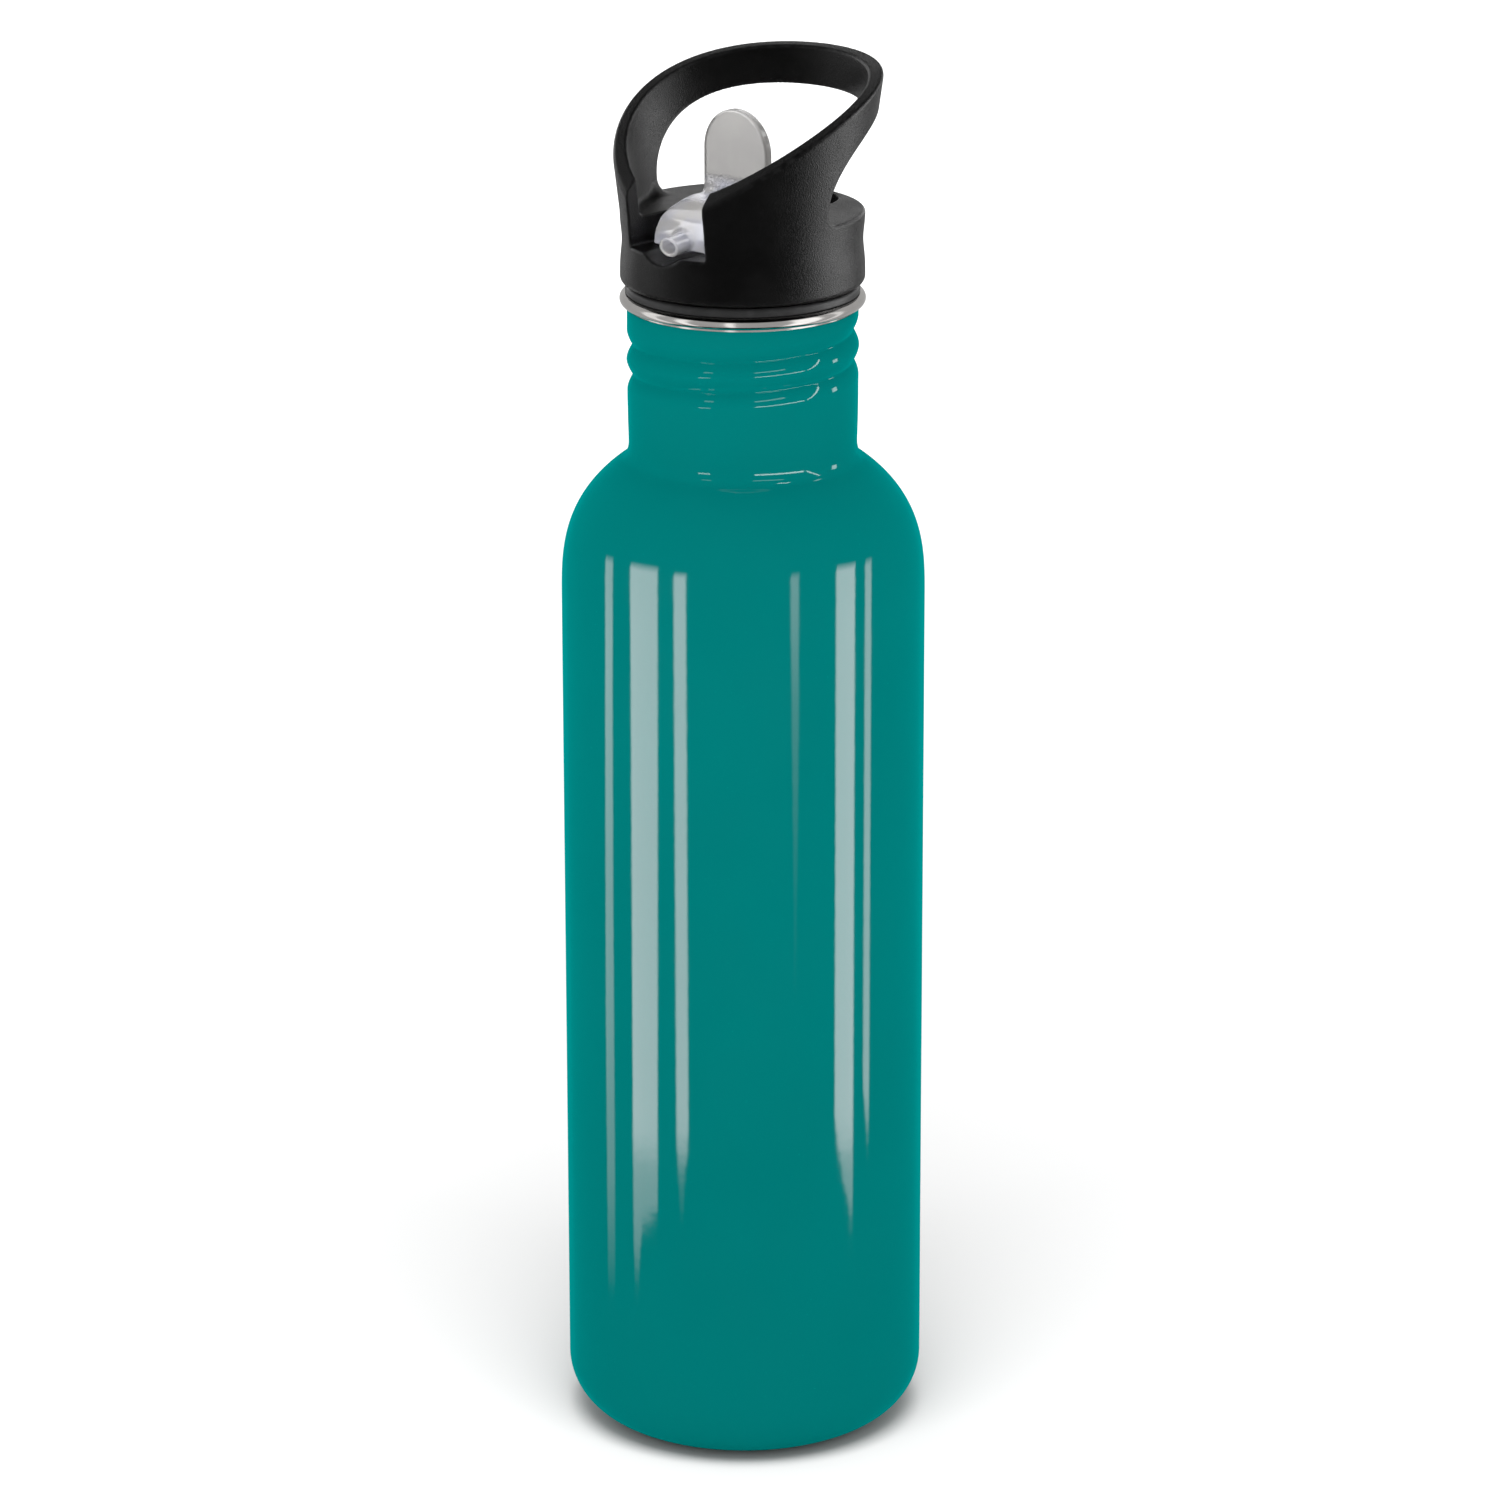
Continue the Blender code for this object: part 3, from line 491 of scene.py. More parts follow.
def add_gasket(rubber):
    """The ring between the skirt and the lip, with a small bead below and a rounded shoulder above."""
    profile = [(20.9, 238.1), (21.0, 238.0)]
    profile += arc((22.9, 238.4), 0.4, -90, 0, 6)
    profile += arc((22.4, 238.9), 0.9, 0, 90, 8)
    profile += [(21.0, 239.8), (20.9, 239.7)]
    gasket = turned("gasket_ring", profile, 224, rubber, smooth_angle=50)
    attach(gasket, "lid_seal")
    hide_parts("neck_gasket")
    return gasket


# ---------------------------------------------------------------- lid
def slot_and_holes(x, y, z):
    """What is cut for the spout: the slot's open front alone, and the front, pocket, trough and pin holes."""
    notch = both(both(np.abs(x) - SLOT_HALF, NOTCH_FLOOR - z, SLOT_EDGE), y - 0.5)
    dip = both(np.hypot(x, z - DIP_FLOOR - DIP_RADIUS) - DIP_RADIUS, y + 1.0)
    front = either(notch, dip, 0.5)
    end = np.where(y > POCKET_CENTRE, np.hypot(x, y - POCKET_CENTRE), np.abs(x)) - SLOT_HALF
    pocket = both(both(end, POCKET_FLOOR - z, SLOT_EDGE), -0.5 - y)
    pocket = both(pocket, z - DECK - 5)
    about_pivot = np.hypot(y, z - PIVOT_Z)
    trough = both(about_pivot - TROUGH_RADIUS, np.abs(x) - TROUGH_HALF, 0.4)
    hole = both(about_pivot - PIN_HOLE_RADIUS, np.abs(x) - PIN_HOLE_HALF)
    slot = either(front, either(pocket, trough, 0.2), 0.2)
    return front, either(slot, hole)


def hollows(x, y, z, r):
    """What is cut from below: the insert's seat, the cores at both sides and the back, the seal's seat."""
    ring = both(r - RING_HOLLOW_RADIUS, z - RING_HOLLOW_TOP, 0.3)
    sides = both(SIDE_HOLLOW_X - np.abs(x), r - SIDE_HOLLOW_RADIUS, 0.5)
    sides = both(sides, z - SIDE_HOLLOW_TOP, 0.5)
    back = both(np.abs(x) - BACK_HOLLOW_X, BACK_HOLLOW_Y - y, 0.5)
    back = both(back, both(r - BACK_HOLLOW_RADIUS, z - BACK_HOLLOW_TOP, 0.5), 0.3)
    seat = both(r - SEAT_RADIUS, z - PIVOT_Z)
    return either(either(ring, sides), either(back, seat))


def lid_field():
    """The lid's moulding: skirt, deck and flared handle, less the spout's slot and the hollows below."""
    top = SideCurve(with_ends(bezier(HANDLE_TOP, 160), (24, 12)))
    low = SideCurve(with_ends(bezier(HANDLE_LOW, 160), (26, 12)))

    def field(x, y, z):
        r = np.hypot(x, y)
        rise = np.maximum(z - DECK, 0) / FLARE_HEIGHT
        waist = WAIST_DEPTH * np.exp(-(((z - WAIST_HEIGHT) / WAIST_WIDTH) ** 2))
        wall = (r - SKIRT_RADIUS + waist - rise * (FLARE + FLARE_CURVE * rise)) * FLARE_SLOPE
        arm = both(-(wall + HANDLE_WALL), top(y, z), 0.55)
        arm = both(arm, -low(y, z), 0.6)
        fillet = FILLET_FRONT + FILLET_GROWTH * smooth(y, *FILLET_PLACE)
        solid = either(z - DECK, arm, fillet)
        solid = both(solid, wall, 0.7)
        solid = both(solid, SKIRT_LOW - z, 1.4)

        front, cut = slot_and_holes(x, y, z)
        solid = without(solid, cut, 0.2)
        # a bevel at 45 degrees along the edge between the wall and the slot
        solid = both(solid, (wall - front + BEVEL) * 0.7071, 0.2)
        return without(solid, hollows(x, y, z, r), 0.3)

    return field


def add_lid(plastic):
    step = 0.38
    low, high = (-29.3, -25.6, 239.3), (29.3, 29.4, 284.6)
    lid = field_mesh("lid_moulding", lid_field(), low, high, step, plastic)
    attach(lid, "lid")
    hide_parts("lid_cap")
    return lid


def spout_field():
    """The clear moulding: barrel, trunnions, mouth tube, cowl and thumb tab, bored through."""
    points = np.array(COWL_CURVE)
    along = np.concatenate([[0], np.cumsum(np.linalg.norm(np.diff(points, axis=0), axis=1))])
    even = np.linspace(0, along[-1], 90)
    curve = np.stack([np.interp(even, along, points[:, k]) for k in (0, 1)], 1)
    for _ in range(16):
        curve[1:-1] = 0.25 * curve[:-2] + 0.5 * curve[1:-1] + 0.25 * curve[2:]
    roof = SideCurve(with_ends(curve, (14, 30)))
    mouth = np.array(MOUTH)
    aim = mouth - np.array([0.0, PIVOT_Z + MOUTH_RISE])
    reach = float(np.hypot(*aim))
    aim /= reach

    def field(x, y, z):
        about_pivot = np.hypot(y, z - PIVOT_Z)
        axial = reach + (y - mouth[0]) * aim[0] + (z - mouth[1]) * aim[1]
        side = -(y - mouth[0]) * aim[1] + (z - mouth[1]) * aim[0]
        grow = np.clip((reach - axial) / reach, 0, 1)
        wide, tall = (half + more * grow for half, more in zip(MOUTH_HALF, ROOT_GROWTH))
        across = (np.sqrt((x / wide) ** 2 + (side / tall) ** 2) - 1) * np.sqrt(wide * tall) * TUBE_SLOPE
        tube = both(across, between(axial, 0.0, reach), 0.3)
        barrel = both(about_pivot - BARREL_RADIUS, np.abs(x) - BARREL_HALF, 0.4)
        pins = both(about_pivot - PIN_RADIUS, np.abs(x) - PIN_HALF, 0.4)

        outer = both(roof(y, z) - 0.1, np.abs(x) - COWL_HALF, 0.9)
        hood = both(outer, -(outer + COWL_SHEET), 0.2)
        hood = both(both(hood, COWL_LOW - z, 0.3), y - COWL_BACK, 0.3)

        up = z - (TAB_TOP - TAB_HALF)
        plate = np.where(up > 0, np.hypot(x, up), np.abs(x)) - TAB_HALF
        tab = both(plate, between(y, TAB_FRONT, TAB_FRONT + TAB_THICKNESS), 0.6)
        tab = both(tab, TAB_FOOT - z, 0.2)

        solid = either(either(barrel, pins, 0.3), either(tube, hood, 0.7), 0.5)
        solid = either(solid, tab, 1.6)
        bore = (np.sqrt((x / BORE_HALF[0]) ** 2 + (side / BORE_HALF[1]) ** 2) - 1) * BORE_HALF[1]
        return without(solid, both(bore, between(axial, -10.0, reach + 2)), 0.25)

    return field


def add_spout(clear):
    step = 0.25
    low, high = (-12.2, -22.9, 244.9), (12.2, 6.7, 275.6)
    spout = field_mesh("spout_clear", spout_field(), low, high, step, clear)
    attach(spout, "spout")
    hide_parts("spout")
    return spout


# ---------------------------------------------------------------- pieces under the lid
def add_insert(plastic):
    """The male thread with its flange, straw socket and vent hole."""

    def male(z):
        def radius(angle):
            ridge = INSERT_RIDGE + THREAD_PITCH * (angle - GROOVE_ANGLE) / (2 * math.pi)
            wave = np.maximum(0, np.cos(2 * math.pi * (z - ridge) / THREAD_PITCH)) ** 0.8
            distance = max(INSERT_THREAD_ENDS[0] - z, z - INSERT_THREAD_ENDS[1], 0)
            return INSERT_CORE + max(0, 1 - distance / INSERT_FADE) * INSERT_THREAD * wave

        return radius

    thread = [(male(z), z) for z in np.arange(219.0, 231.2, 0.35)]
    flange = [(INSERT_CORE, 239.8), (20.75, 240.0), (21.7, 240.1), (21.9, 240.3), (21.9, 242.6)]
    passage = [(21.7, 242.8), (2.3, 242.8), (2.2, 242.7), (2.2, 240.3)]
    socket = [(3.6, 240.3), (3.6, 228.2), (3.8, 228.0), (4.8, 228.0), (5.0, 228.2), (5.0, 239.9)]
    hollow = [(5.4, 240.3), (17.8, 240.3), (18.2, 239.9), (18.2, 218.7), (18.5, 218.4)]
    rows = [(19.9, 218.4), (20.3, 218.7)] + thread + flange + passage + socket + hollow
    insert = turned("insert_thread", rows, 192, plastic, smooth_angle=35)
    cutter = turned("vent_cutter", [(VENT_RADIUS, 239), (VENT_RADIUS, 244)], 40, None, wrap=False)
    cutter.location.y = VENT_Y * MM
    hole = insert.modifiers.new("vent", "BOOLEAN")
    hole.object, hole.operation, hole.solver = cutter, "DIFFERENCE", "EXACT"
    graph = bpy.context.evaluated_depsgraph_get()
    insert.data = bpy.data.meshes.new_from_object(insert.evaluated_get(graph))
    insert.modifiers.clear()
    bpy.data.objects.remove(cutter, do_unlink=True)
    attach(insert, "lid")
    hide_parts("threaded_insert")
    return insert


def add_small_pieces(clear, silicone):
    """The straw, the seal under the spout's barrel and the vent valve."""
    straw_rows = [(3.3, 8.3), (3.3, 239.6), (3.1, 239.9), (2.7, 239.9), (2.6, 239.7)]
    straw_rows += [(2.6, 8.2), (2.75, 8.0), (3.15, 8.0)]
    straw = turned("straw_tube", straw_rows, 64, clear)
    seal_rows = [(2.1, 243.1), (6.3, 243.1), (6.4, 243.2), (6.4, 243.5), (6.3, 243.6), (4.7, 243.6)]
    seal_rows += [(4.7, 246.0), (4.6, 246.1), (2.1, 245.9), (2.0, 245.8), (2.0, 243.2)]
    seal = turned("seat_seal", seal_rows, 64, silicone)
    valve_rows = [(2.6, 239.1), (2.9, 239.3), (3.0, 240.0), (0.95, 240.0), (0.95, 243.1)]
    valve_rows += [(1.7, 243.1), (1.8, 243.2), (1.5, 243.7), (0.9, 244.0)]
    valve = turned("vent_button", valve_rows, 48, silicone, wrap=False)
    valve.location.y = VENT_Y * MM
    for item, node, slot in (
        (straw, "straw", "clear_plastic"),
        (seal, "spout_seal", "silicone"),
        (valve, "vent_valve", "silicone"),
    ):
        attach(item, "lid")
        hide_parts(node)


# ---------------------------------------------------------------- materials
class Nodes:
    """Short names for building one material's nodes. Places are in metres, in the object's own frame."""

    def __init__(self, name, **values):
        self.material = bpy.data.materials.new(name)
        self.material.use_nodes = True
        self.tree = self.material.node_tree
        self.shader = self.tree.nodes["Principled BSDF"]
        for key, value in values.items():
            self.shader.inputs[key.replace("_", " ")].default_value = value
        self.where = self.tree.nodes.new("ShaderNodeTexCoord").outputs["Object"]

    def link(self, value, socket):
        if isinstance(value, (int, float, tuple)):
            socket.default_value = value
        else:
            self.tree.links.new(value, socket)

    def math(self, operation, a, b=0.0, clamp=False):
        node = self.tree.nodes.new("ShaderNodeMath")
        node.operation, node.use_clamp = operation, clamp
        self.link(a, node.inputs[0])
        self.link(b, node.inputs[1])
        return node.outputs[0]

    def noise(self, scale, detail=2.0, roughness=0.5, where=None):
        node = self.tree.nodes.new("ShaderNodeTexNoise")
        self.link(where or self.where, node.inputs["Vector"])
        for key, value in (("Scale", scale), ("Detail", detail), ("Roughness", roughness)):
            node.inputs[key].default_value = value
        return node.outputs["Fac"]

    def around(self, turn, across, along):
        """Places for fine turned lines: the direction from the Z axis, and the scaled radius plus height."""
        split = self.tree.nodes.new("ShaderNodeSeparateXYZ")
        self.link(self.where, split.inputs[0])
        x, y, z = split.outputs
        radius = self.math("SQRT", self.math("ADD", self.math("MULTIPLY", x, x), self.math("MULTIPLY", y, y)))
        inverse = self.math("DIVIDE", turn, self.math("MAXIMUM", radius, 1e-5))
        join = self.tree.nodes.new("ShaderNodeCombineXYZ")
        radius_part = self.math("ADD", self.math("MULTIPLY", radius, across), self.math("MULTIPLY", z, along))
        self.link(self.math("MULTIPLY", x, inverse), join.inputs[0])
        self.link(self.math("MULTIPLY", y, inverse), join.inputs[1])
        self.link(radius_part, join.inputs[2])
        return join.outputs[0]

    def ramp(self, value, low, high, out_low=0.0, out_high=1.0):
        node = self.tree.nodes.new("ShaderNodeMapRange")
        node.interpolation_type = "SMOOTHSTEP"
        self.link(value, node.inputs["Value"])
        for key, number in (("From Min", low), ("From Max", high), ("To Min", out_low), ("To Max", out_high)):
            node.inputs[key].default_value = number
        return node.outputs["Result"]

    def mix(self, share, a, b):
        node = self.tree.nodes.new("ShaderNodeMix")
        node.data_type = "RGBA"
        self.link(share, node.inputs["Factor"])
        self.link(a, node.inputs[6])
        self.link(b, node.inputs[7])
        return node.outputs[2]

    def attribute(self, name):
        node = self.tree.nodes.new("ShaderNodeAttribute")
        node.attribute_name = name
        return node.outputs["Fac"]

    def reach(self):
        """Distance from the object's origin."""
        length = self.tree.nodes.new("ShaderNodeVectorMath")
        length.operation = "LENGTH"
        self.link(self.where, length.inputs[0])
        return length.outputs["Value"]

    def height(self):
        """Height above the object's origin."""
        split = self.tree.nodes.new("ShaderNodeSeparateXYZ")
        self.link(self.where, split.inputs[0])
        return split.outputs["Z"]

    def facing(self):
        node = self.tree.nodes.new("ShaderNodeLayerWeight")
        node.inputs["Blend"].default_value = 0.5
        return node.outputs["Facing"]

    def bump(self, height, distance, strength=1.0, before=None):
        node = self.tree.nodes.new("ShaderNodeBump")
        node.inputs["Strength"].default_value = strength
        node.inputs["Distance"].default_value = distance
        self.link(height, node.inputs["Height"])
        if before:
            self.link(before, node.inputs["Normal"])
        return node.outputs[0]

    def set(self, key, value):
        self.link(value, self.shader.inputs[key])


def paint_material():
    """Glossy teal powder paint: faint clouds and specks, an orange-peel bump, and sheen towards the sides."""
    m = Nodes("teal_paint", IOR=1.5, Sheen_Weight=0.22, Sheen_Roughness=0.45, Sheen_Tint=(0.0, 0.85, 0.83, 1))
    cloud = m.noise(22, 3)
    speck = m.noise(2600, 1)
    colour = m.mix(m.ramp(cloud, 0.35, 0.65), (0.0, 0.148, 0.1412, 1), (0.0, 0.154, 0.1467, 1))
    colour = m.mix(m.ramp(speck, 0.72, 0.8, 0, 0.35), colour, (0.0, 0.25, 0.235, 1))
    m.set("Base Color", colour)
    haze = m.ramp(m.noise(60, 3), 0.3, 0.7, 0.035, 0.06)
    m.set("Roughness", haze)
    m.set("Normal", m.bump(m.noise(420, 2, 0.45), 0.00002, 0.2))
    m.set("Specular IOR Level", m.ramp(m.facing(), 0.45, 0.8, 0.5, 0.0))
    return m.material


def steel_material(name, rough):
    """Turned steel with fine lines round the axis."""
    m = Nodes(name, Metallic=1.0)
    lines = m.noise(1.0, 4, 0.6, where=m.around(1.2, 9000, 9000))
    broad = m.noise(1.0, 2, 0.5, where=m.around(3.0, 900, 900))
    m.set("Base Color", m.mix(m.ramp(broad, 0.3, 0.7), (0.64, 0.62, 0.6, 1), (0.576, 0.558, 0.54, 1)))
    m.set("Roughness", m.ramp(lines, 0.3, 0.7, rough * 0.75, rough * 1.3))
    m.set("Normal", m.bump(lines, 0.00001, 0.3))
    return m.material


def plastic_material():
    """Satin black plastic with a fine moulded grain, and a painted highlight: its tight edges are coloured
    paler and made a little less rough.
    """
    m = Nodes("black_plastic", IOR=1.5)
    grain = m.noise(3300, 3, 0.6)
    cloud = m.noise(90, 4, 0.6)
    # Painted highlight: the edge mark, broken up by noise, mixes a paler colour onto tight outer edges to
    # stand in for the light they catch
    painted_highlight_edges = m.ramp(m.attribute("edge"), 0.25, 0.9)
    edge = m.math("MULTIPLY", painted_highlight_edges, m.ramp(m.noise(700, 3), 0.35, 0.75), clamp=True)
    colour = m.mix(m.ramp(cloud, 0.35, 0.7), (0.0030, 0.0030, 0.0032, 1), (0.0045, 0.0045, 0.0047, 1))
    m.set("Base Color", m.mix(m.math("MULTIPLY", edge, 0.35), colour, (0.03, 0.03, 0.031, 1)))
    m.set("Roughness", m.math("ADD", m.ramp(cloud, 0.3, 0.7, 0.36, 0.44), m.math("MULTIPLY", edge, -0.06)))
    m.set("Normal", m.bump(grain, 0.00014, 0.75))
    return m.material


def rubber_material():
    """Smooth black rubber, a little dusty."""
    m = Nodes("black_rubber", IOR=1.45)
    cloud = m.noise(400, 4, 0.6)
    m.set("Base Color", m.mix(m.ramp(cloud, 0.35, 0.7), (0.024, 0.024, 0.0245, 1), (0.034, 0.034, 0.035, 1)))
    m.set("Roughness", m.ramp(cloud, 0.3, 0.7, 0.42, 0.55))
    m.set("Normal", m.bump(m.noise(2600, 3), 0.00004, 0.4))
    return m.material


def clear_material():
    """Clear plastic: a milky cowl and mouth, a tab above it coloured a darker grey as painted shade, and
    ripples where the two meet.
    """
    tab_low, tab_high = 0.2585, 0.2615
    m = Nodes("clear_plastic", IOR=1.53)
    cloud = m.noise(130, 3)
    # Painted shade: the tab is one moulding with the cowl, yet above this height it gets a darker grey colour
    # and a little less transmission
    tab = m.ramp(m.height(), tab_low, tab_high)
    hood_colour = m.mix(m.ramp(cloud, 0.35, 0.65), (0.76, 0.77, 0.86, 1), (0.84, 0.825, 0.80, 1))
    tab_shade_colour = m.mix(m.ramp(cloud, 0.35, 0.65), (0.45, 0.442, 0.434, 1), (0.48, 0.472, 0.46, 1))
    m.set("Base Color", m.mix(tab, hood_colour, tab_shade_colour))
    m.set("Transmission Weight", m.ramp(m.height(), tab_low, tab_high, 0.68, 0.62))
    m.set("Roughness", m.ramp(m.noise(300, 3), 0.3, 0.7, 0.03, 0.08))
    root = m.math("MULTIPLY", m.ramp(m.height(), 0.2565, tab_low), m.ramp(m.height(), 0.2605, 0.262, 1, 0))
    ripples = m.bump(m.math("MULTIPLY", m.noise(1700, 2), root), 0.0003, 0.8)
    m.set("Normal", m.bump(m.noise(500, 2), 0.00003, 0.3, ripples))
    return m.material


def silicone_material():
    """Translucent matte silicone."""
    m = Nodes("silicone", IOR=1.41, Transmission_Weight=0.35)
    cloud = m.noise(600, 3)
    m.set("Base Color", m.mix(m.ramp(cloud, 0.3, 0.7), (0.72, 0.73, 0.73, 1), (0.78, 0.79, 0.79, 1)))
    m.set("Roughness", m.ramp(cloud, 0.3, 0.7, 0.4, 0.5))
    m.set("Normal", m.bump(m.noise(2400, 2), 0.00003, 0.3))
    return m.material


# ---------------------------------------------------------------- studio
WORLD_STRENGTH = 1.3
FLOOR_RADIUS = 8000
CARD_DISTANCE = 600.0
STRIP_COLOUR, STRIP_SOFTNESS = (1.0, 0.85, 0.87), 0.4

# Tall softboxes that the body mirrors: the edges of the reflection in degrees from the camera, the strength,
# and rows of height, brightness, and the shares of the width where the reflection starts and ends.
STRIPS = {
    "strip_a": (-49.2, -45.7, 4.3, (
        (190.2, 0, 0.35, 1.3), (188.7, 1, 0.35, 1.3), (165, 1, 0.2, 1.15), (123, 0.76, 0, 1),
        (91, 0.6, -0.14, 0.95), (60, 0.4, -0.14, 0.9), (34, 0, -0.14, 0.8),
    )),
    "strip_b": (-37.4, -27.8, 7.2, (
        (190.2, 0, 0, 1.05), (188.7, 1, 0, 1.05), (140, 1, -0.02, 1), (71, 1, -0.06, 0.92),
        (64, 0.55, -0.06, 0.92), (55, 0.45, -0.06, 0.9), (51, 0.4, -0.06, 0.3), (46, 0.3, -0.05, 0.2),
        (38, 0, 0, 0.15),
    )),
    "strip_c": (-21.9, -17.9, 7.3, (
        (189.6, 0, 0, 1), (188.4, 1, 0, 1), (72, 1, 0, 1), (66, 0.35, 0.1, 0.8), (62, 0.12, 0.2, 0.6),
        (54, 0, 0.3, 0.6),
    )),
    "strip_d": (14.7, 17.3, 3.4, (
        (189.8, 0, 0, 1), (188.4, 1, 0, 1), (181, 0.9, 0, 1), (164, 0.45, 0.15, 1), (140, 0.2, 0.3, 0.9),
        (123, 0.06, 0.4, 0.8), (100, 0, 0.4, 0.7),
    )),
    "strip_e": (29.9, 36.9, 7.6, (
        (190.2, 0, 0, 1), (188.7, 1, 0, 1), (75, 1, 0, 1), (69, 0.9, 0.15, 1), (66, 0.55, 0.3, 1),
        (60, 0.45, 0.5, 1), (56, 0.4, 0.75, 1), (51, 0, 0.85, 1),
    )),
    "strip_f": (41.0, 43.6, 4.9, (
        (190.2, 0, 0, 1), (188.7, 1, 0, 1), (80, 1, 0, 1), (74, 0.7, 0.4, 1), (67, 0, 0.7, 1),
    )),
}

# Thin sheets that the neck mirrors: angle from the camera, width, low, high, climb and strength.
NECK_CARDS = {
    "dash_left": (-38, 12, 205, 250, 0, 6.0),
    "dash_left_high": (-38, 10, 520, 570, 0, 2.0),
    "dash_long": (36, 50, 205, 255, 0, 9.0),
    "dash_faint": (26, 32, 500, 545, 0, 3.0),
    "dash_high": (50, 16, 850, 960, 0, 9.0),
    "dash_slant": (74, 20, 215, 255, 280, 9.0),
    "dash_side": (100, 7, 205, 330, 0, 5.0),
    "dash_side_high": (98, 5, 760, 900, 0, 5.0),
}

# Panels for the lid and for the clear spout: angle, width, low, high, distance and strength.
LID_CARDS = {
    "lid_right": (98, 32, -400, 1100, 700, 4.4),
    "lid_far_right": (155, 20, -400, 900, 700, 0.7),
    "lid_back": (180, 150, 200, 700, 900, 0.85),
    "lid_left": (-100, 50, -400, 900, 700, 0.6),
    "lid_far_left": (-148, 14, -400, 700, 700, 1.6),
}
SPOUT_CARDS = {
    "spout_left": (-75, 100, 330, 1300, 650, 6.0),
    "spout_front": (5, 36, 520, 1500, 650, 4.5),
    "spout_right": (85, 50, 330, 1300, 650, 5.0),
    "spout_back": (180, 120, 330, 1300, 900, 2.0),
}

# Brighter bands in the grey room round the steel lip: angle, width and strength.
LIP_BANDS = ((-95, 22, 0.7), (-58, 14, 0.9), (-12, 10, 0.9), (62, 34, 1.1), (100, 12, 0.6))


def only_seen_by(item, kind):
    """Hide an object from every kind of ray but one."""
    for each in ("camera", "diffuse", "glossy", "transmission", "volume_scatter", "shadow"):
        setattr(item, "visible_" + each, each == kind)


def glow_material(name, strength, colour):
    """Light that adds to whatever is behind it, so cards can stand in front of each other."""
    material = bpy.data.materials.new(name)
    material.use_nodes = True
    tree = material.node_tree
    tree.nodes.clear()
    out = tree.nodes.new("ShaderNodeOutputMaterial")
    glow = tree.nodes.new("ShaderNodeEmission")
    glow.inputs["Color"].default_value = (*colour, 1)
    read = tree.nodes.new("ShaderNodeAttribute")
    read.attribute_name = "glow"
    scale = tree.nodes.new("ShaderNodeMath")
    scale.operation = "MULTIPLY"
    scale.inputs[1].default_value = strength
    tree.links.new(read.outputs["Fac"], scale.inputs[0])
    tree.links.new(scale.outputs[0], glow.inputs["Strength"])
    clear = tree.nodes.new("ShaderNodeBsdfTransparent")
    total = tree.nodes.new("ShaderNodeAddShader")
    tree.links.new(glow.outputs[0], total.inputs[0])
    tree.links.new(clear.outputs[0], total.inputs[1])
    tree.links.new(total.outputs[0], out.inputs["Surface"])
    return material


def light_only(item, receivers, name):
    group = bpy.data.collections.new(name)
    for receiver in receivers:
        group.objects.link(receiver)
    item.light_linking.receiver_collection = group


def card_point(angle, z):
    """Where a card has to glow, to be mirrored by the body at this angle from the camera and this height."""
    radius, slope = shoulder(z)
    angle = math.asin(max(-1, min(1, math.sin(angle) * BODY_RADIUS / radius)))
    side = TOWARDS * math.cos(angle) + RIGHT * math.sin(angle)
    normal = (side - Vector((0, 0, slope))).normalized()
    spot = side * radius + Vector((0, 0, z))
    view = (EYE / MM - spot).normalized()
    out = 2 * view.dot(normal) * normal - view
    a = out.x**2 + out.y**2
    b = spot.x * out.x + spot.y * out.y
    c = spot.x**2 + spot.y**2 - CARD_DISTANCE**2
    return spot + out * ((-b + math.sqrt(b * b - a * c)) / a)


def add_card(name, points, columns, glow, strength, receivers, kind="glossy", colour=(1, 1, 1)):
    """A glowing sheet from rows of points, which lights only the receivers and only by one kind of ray."""
    faces = []
    for i in range(len(points) // columns - 1):
        for k in range(columns - 1):
            a = i * columns + k
            faces.append((a, a + 1, a + columns + 1, a + columns))
    material = glow_material(name, strength, colour)
    card = add_mesh(name, [tuple(p) for p in points], faces, material, marks={"glow": glow})
    only_seen_by(card, kind)
    light_only(card, receivers, name + "_on")


def strip_card(name, first, last, strength, profile, receivers):
    """A tall narrow softbox, placed by its reflection on the body as the STRIPS say, with soft sides."""
    steps = np.array(profile, float)
    heights = np.unique(np.concatenate([np.linspace(steps[-1, 0], steps[0, 0], 50), steps[:, 0]]))
    points, glow = [], []
    for z in heights:
        bright, left, right = (np.interp(z, steps[::-1, 0], steps[::-1, k]) for k in (1, 2, 3))
        start, end = first + (last - first) * left, first + (last - first) * right
        soft = min(STRIP_SOFTNESS, (end - start) / 2)
        places = (start - soft, start + soft, (start + end) / 2, end - soft, end + soft)
        for place, level in zip(places, (0, 1, 1, 1, 0)):
            points.append(card_point(math.radians(place), z))
            glow.append(level * bright)
    add_card(name, points, 5, glow, strength, receivers, colour=STRIP_COLOUR)


def panel(name, angle, width, low, high, distance, strength, receivers, fade=0.3, climb=0):
    """A large panel at an angle from the camera, bent round the bottle. It dims over the share fade of its
    edges, and climb lifts its right end."""
    columns, rows = 17, 9
    points, glow = [], []
    for j in range(rows):
        for i in range(columns):
            turn = math.radians(angle + width * (i / (columns - 1) - 0.5))
            side = TOWARDS * math.cos(turn) + RIGHT * math.sin(turn)
            height = low + (high - low) * j / (rows - 1) + climb * i / (columns - 1)
            points.append(side * distance + Vector((0, 0, height)))
            if fade:
                u, v = abs(2 * i / (columns - 1) - 1), abs(2 * j / (rows - 1) - 1)
                glow.append(float((1 - smooth(u, 1 - fade, 1.0)) * (1 - smooth(v, 1 - fade, 1.0))))
            else:
                glow.append(1.0)
    add_card(name, points, columns, glow, strength, receivers)


def ceiling(name, size, height, forward, strength, receivers, kind):
    """A level glowing sheet over the bottle, set forward towards the camera."""
    middle = TOWARDS * forward + Vector((0, 0, height))
    points = [middle + Vector((x * size / 2, y * size / 2, 0)) for y in (-1, 1) for x in (-1, 1)]
    add_card(name, points, 2, [1.0] * 4, strength, receivers, kind)


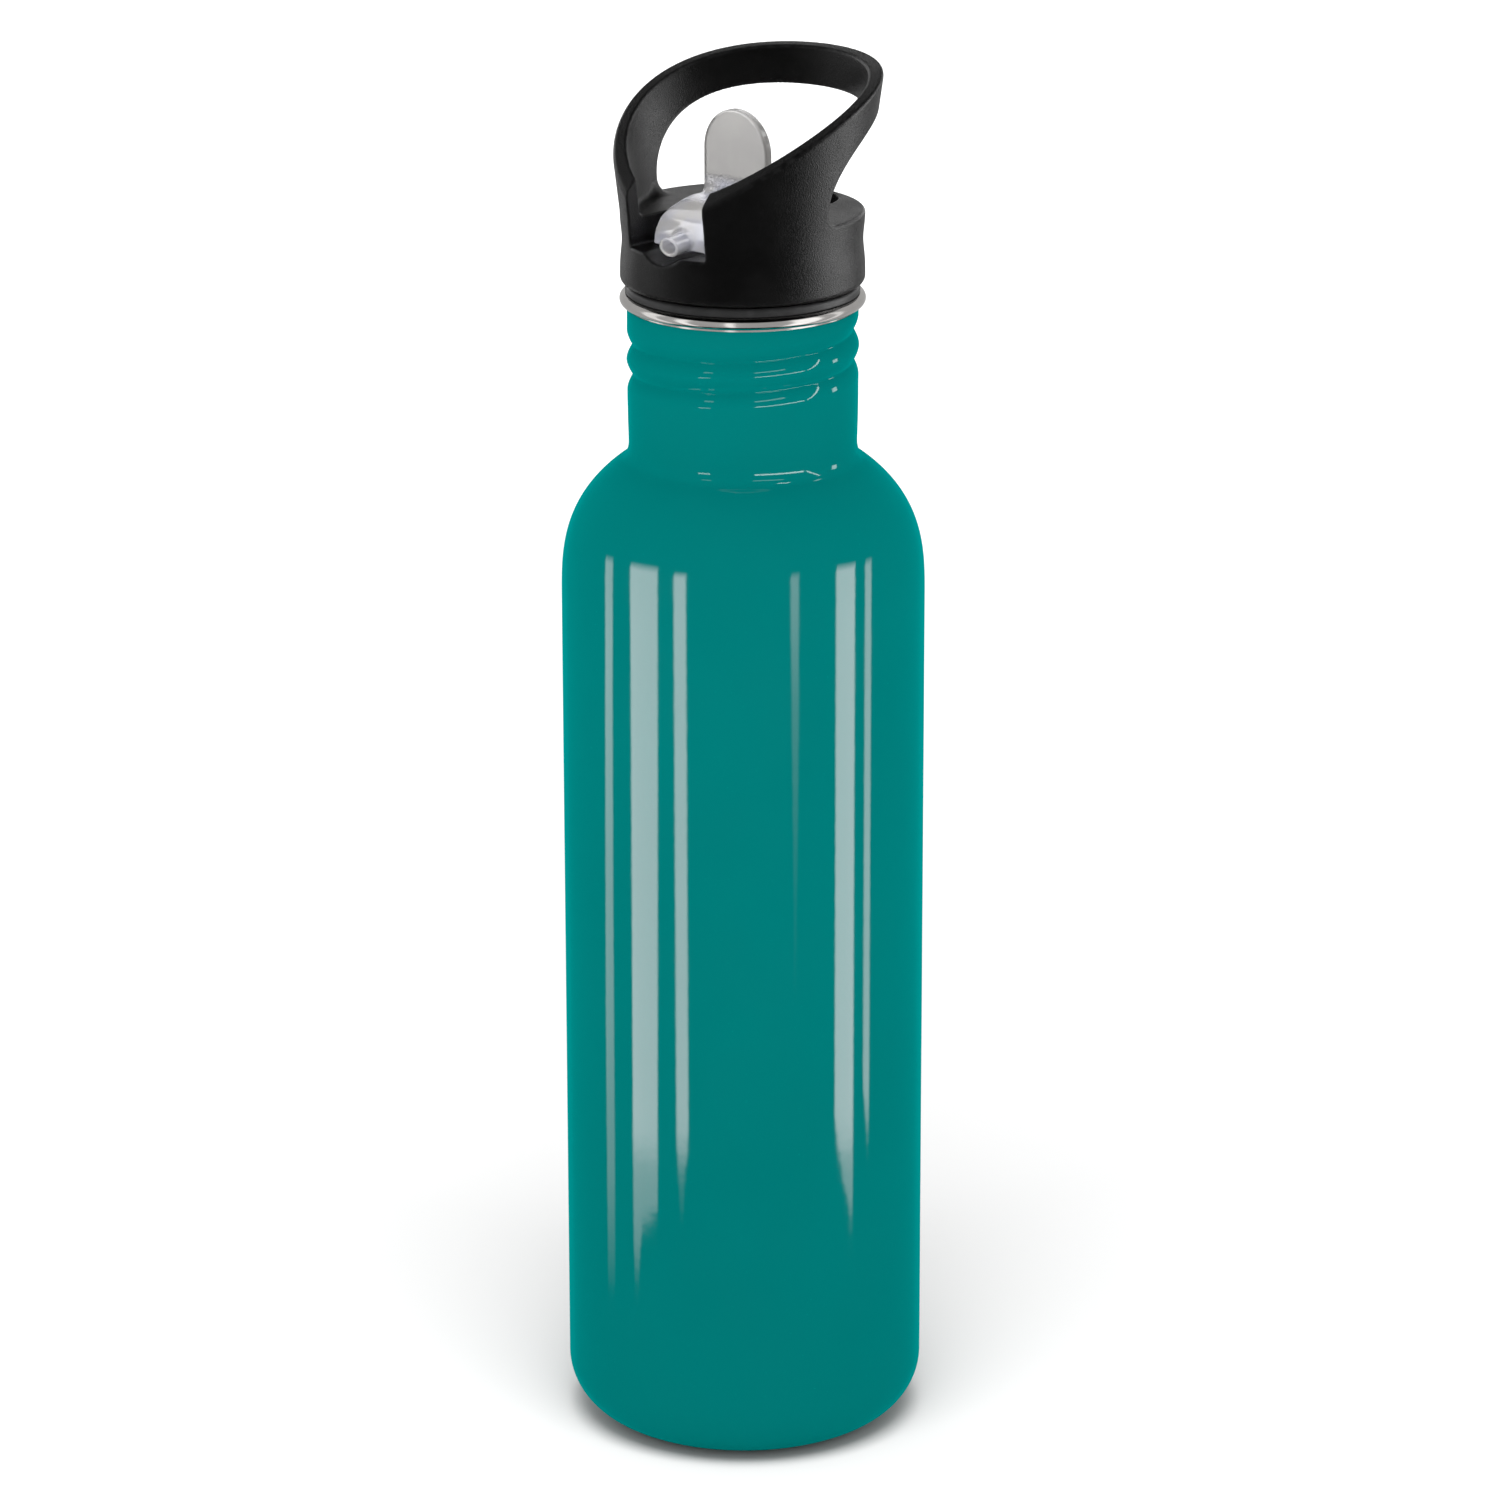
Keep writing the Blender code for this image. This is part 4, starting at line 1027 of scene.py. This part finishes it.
def add_world():
    """White light for everything but glossy reflections, which see only the cards."""
    world = bpy.data.worlds.new("studio")
    bpy.context.scene.world = world
    world.use_nodes = True
    world.cycles.sampling_method = "NONE"
    tree = world.node_tree
    tree.nodes.clear()
    out = tree.nodes.new("ShaderNodeOutputWorld")
    bright, dark = (tree.nodes.new("ShaderNodeBackground") for _ in range(2))
    bright.inputs["Color"].default_value = (1, 1, 1, 1)
    bright.inputs["Strength"].default_value = WORLD_STRENGTH
    dark.inputs["Color"].default_value = (0, 0, 0, 1)
    path = tree.nodes.new("ShaderNodeLightPath")
    mirrored = tree.nodes.new("ShaderNodeMath")
    mirrored.operation = "SUBTRACT"
    mirrored.use_clamp = True
    tree.links.new(path.outputs["Is Glossy Ray"], mirrored.inputs[0])
    tree.links.new(path.outputs["Is Transmission Ray"], mirrored.inputs[1])
    mix = tree.nodes.new("ShaderNodeMixShader")
    tree.links.new(mirrored.outputs[0], mix.inputs[0])
    tree.links.new(bright.outputs[0], mix.inputs[1])
    tree.links.new(dark.outputs[0], mix.inputs[2])
    tree.links.new(mix.outputs[0], out.inputs["Surface"])


def add_floor():
    """A faintly mottled floor, grey near the bottle and near white far off, under its own lamp; the near
    white far off is painted light, standing in for lamp light that does not reach there.
    """
    m = Nodes("pale_floor", Roughness=0.9, Specular_IOR_Level=0.0)
    mottle = m.ramp(m.noise(3, 2), 0.3, 0.7)
    near = m.mix(mottle, (0.44, 0.44, 0.44, 1), (0.46, 0.46, 0.46, 1))
    far = m.mix(mottle, (0.96, 0.96, 0.96, 1), (0.98, 0.98, 0.98, 1))
    # Painted light: the colour rises from grey to near white with distance, so the floor stays white beyond
    # its lamp's reach
    m.set("Base Color", m.mix(m.ramp(m.reach(), 0.2, 1.3), near, far))
    turn = np.linspace(0, 2 * math.pi, 97)[:-1]
    ring = [(FLOOR_RADIUS * math.cos(a), FLOOR_RADIUS * math.sin(a), 0) for a in turn]
    floor = add_mesh("floor", ring, [list(range(len(ring)))], m.material)
    floor.visible_glossy = False
    ceiling("floor_light", 850, 1400, 560, 16.0, [floor], "diffuse")


def add_cards(body, neck, steel, spout, lid_pieces):
    """The sheets that each material mirrors."""
    for name, (first, last, strength, profile) in STRIPS.items():
        strip_card(name, first, last, strength, profile, [body])
    for name, (angle, width, low, high, climb, strength) in NECK_CARDS.items():
        panel(name, angle, width, low, high, CARD_DISTANCE, strength, [neck], fade=0.0, climb=climb)
    for name, values in LID_CARDS.items():
        panel(name, *values, lid_pieces)
    panel("lip_room", 0, 359.9, -900, 900, 800, 0.5, [steel], fade=0.0)
    for angle, width, strength in LIP_BANDS:
        panel("lip_band_%d" % (angle % 360), angle, width, -900, 900, 780, strength, [steel])
    for name, values in SPOUT_CARDS.items():
        panel(name, *values, [spout])
    ceiling("spout_top", 700, 900, 0, 4.0, [spout], "glossy")


def main():
    scene = bpy.context.scene
    scene.view_settings.view_transform = "Standard"
    scene.view_settings.look = "None"
    make_camera()
    paint, plastic, rubber = paint_material(), plastic_material(), rubber_material()
    bright, dull = steel_material("polished_steel", 0.14), steel_material("pressed_steel", 0.3)
    clear, silicone = clear_material(), silicone_material()
    body, neck, liner = add_bottle(paint, bright)
    add_base_plate(dull)
    lid_pieces = [add_gasket(rubber), add_lid(plastic), add_insert(plastic)]
    spout = add_spout(clear)
    add_small_pieces(clear, silicone)
    add_world()
    add_floor()
    add_cards(body, neck, liner, spout, lid_pieces)


main()
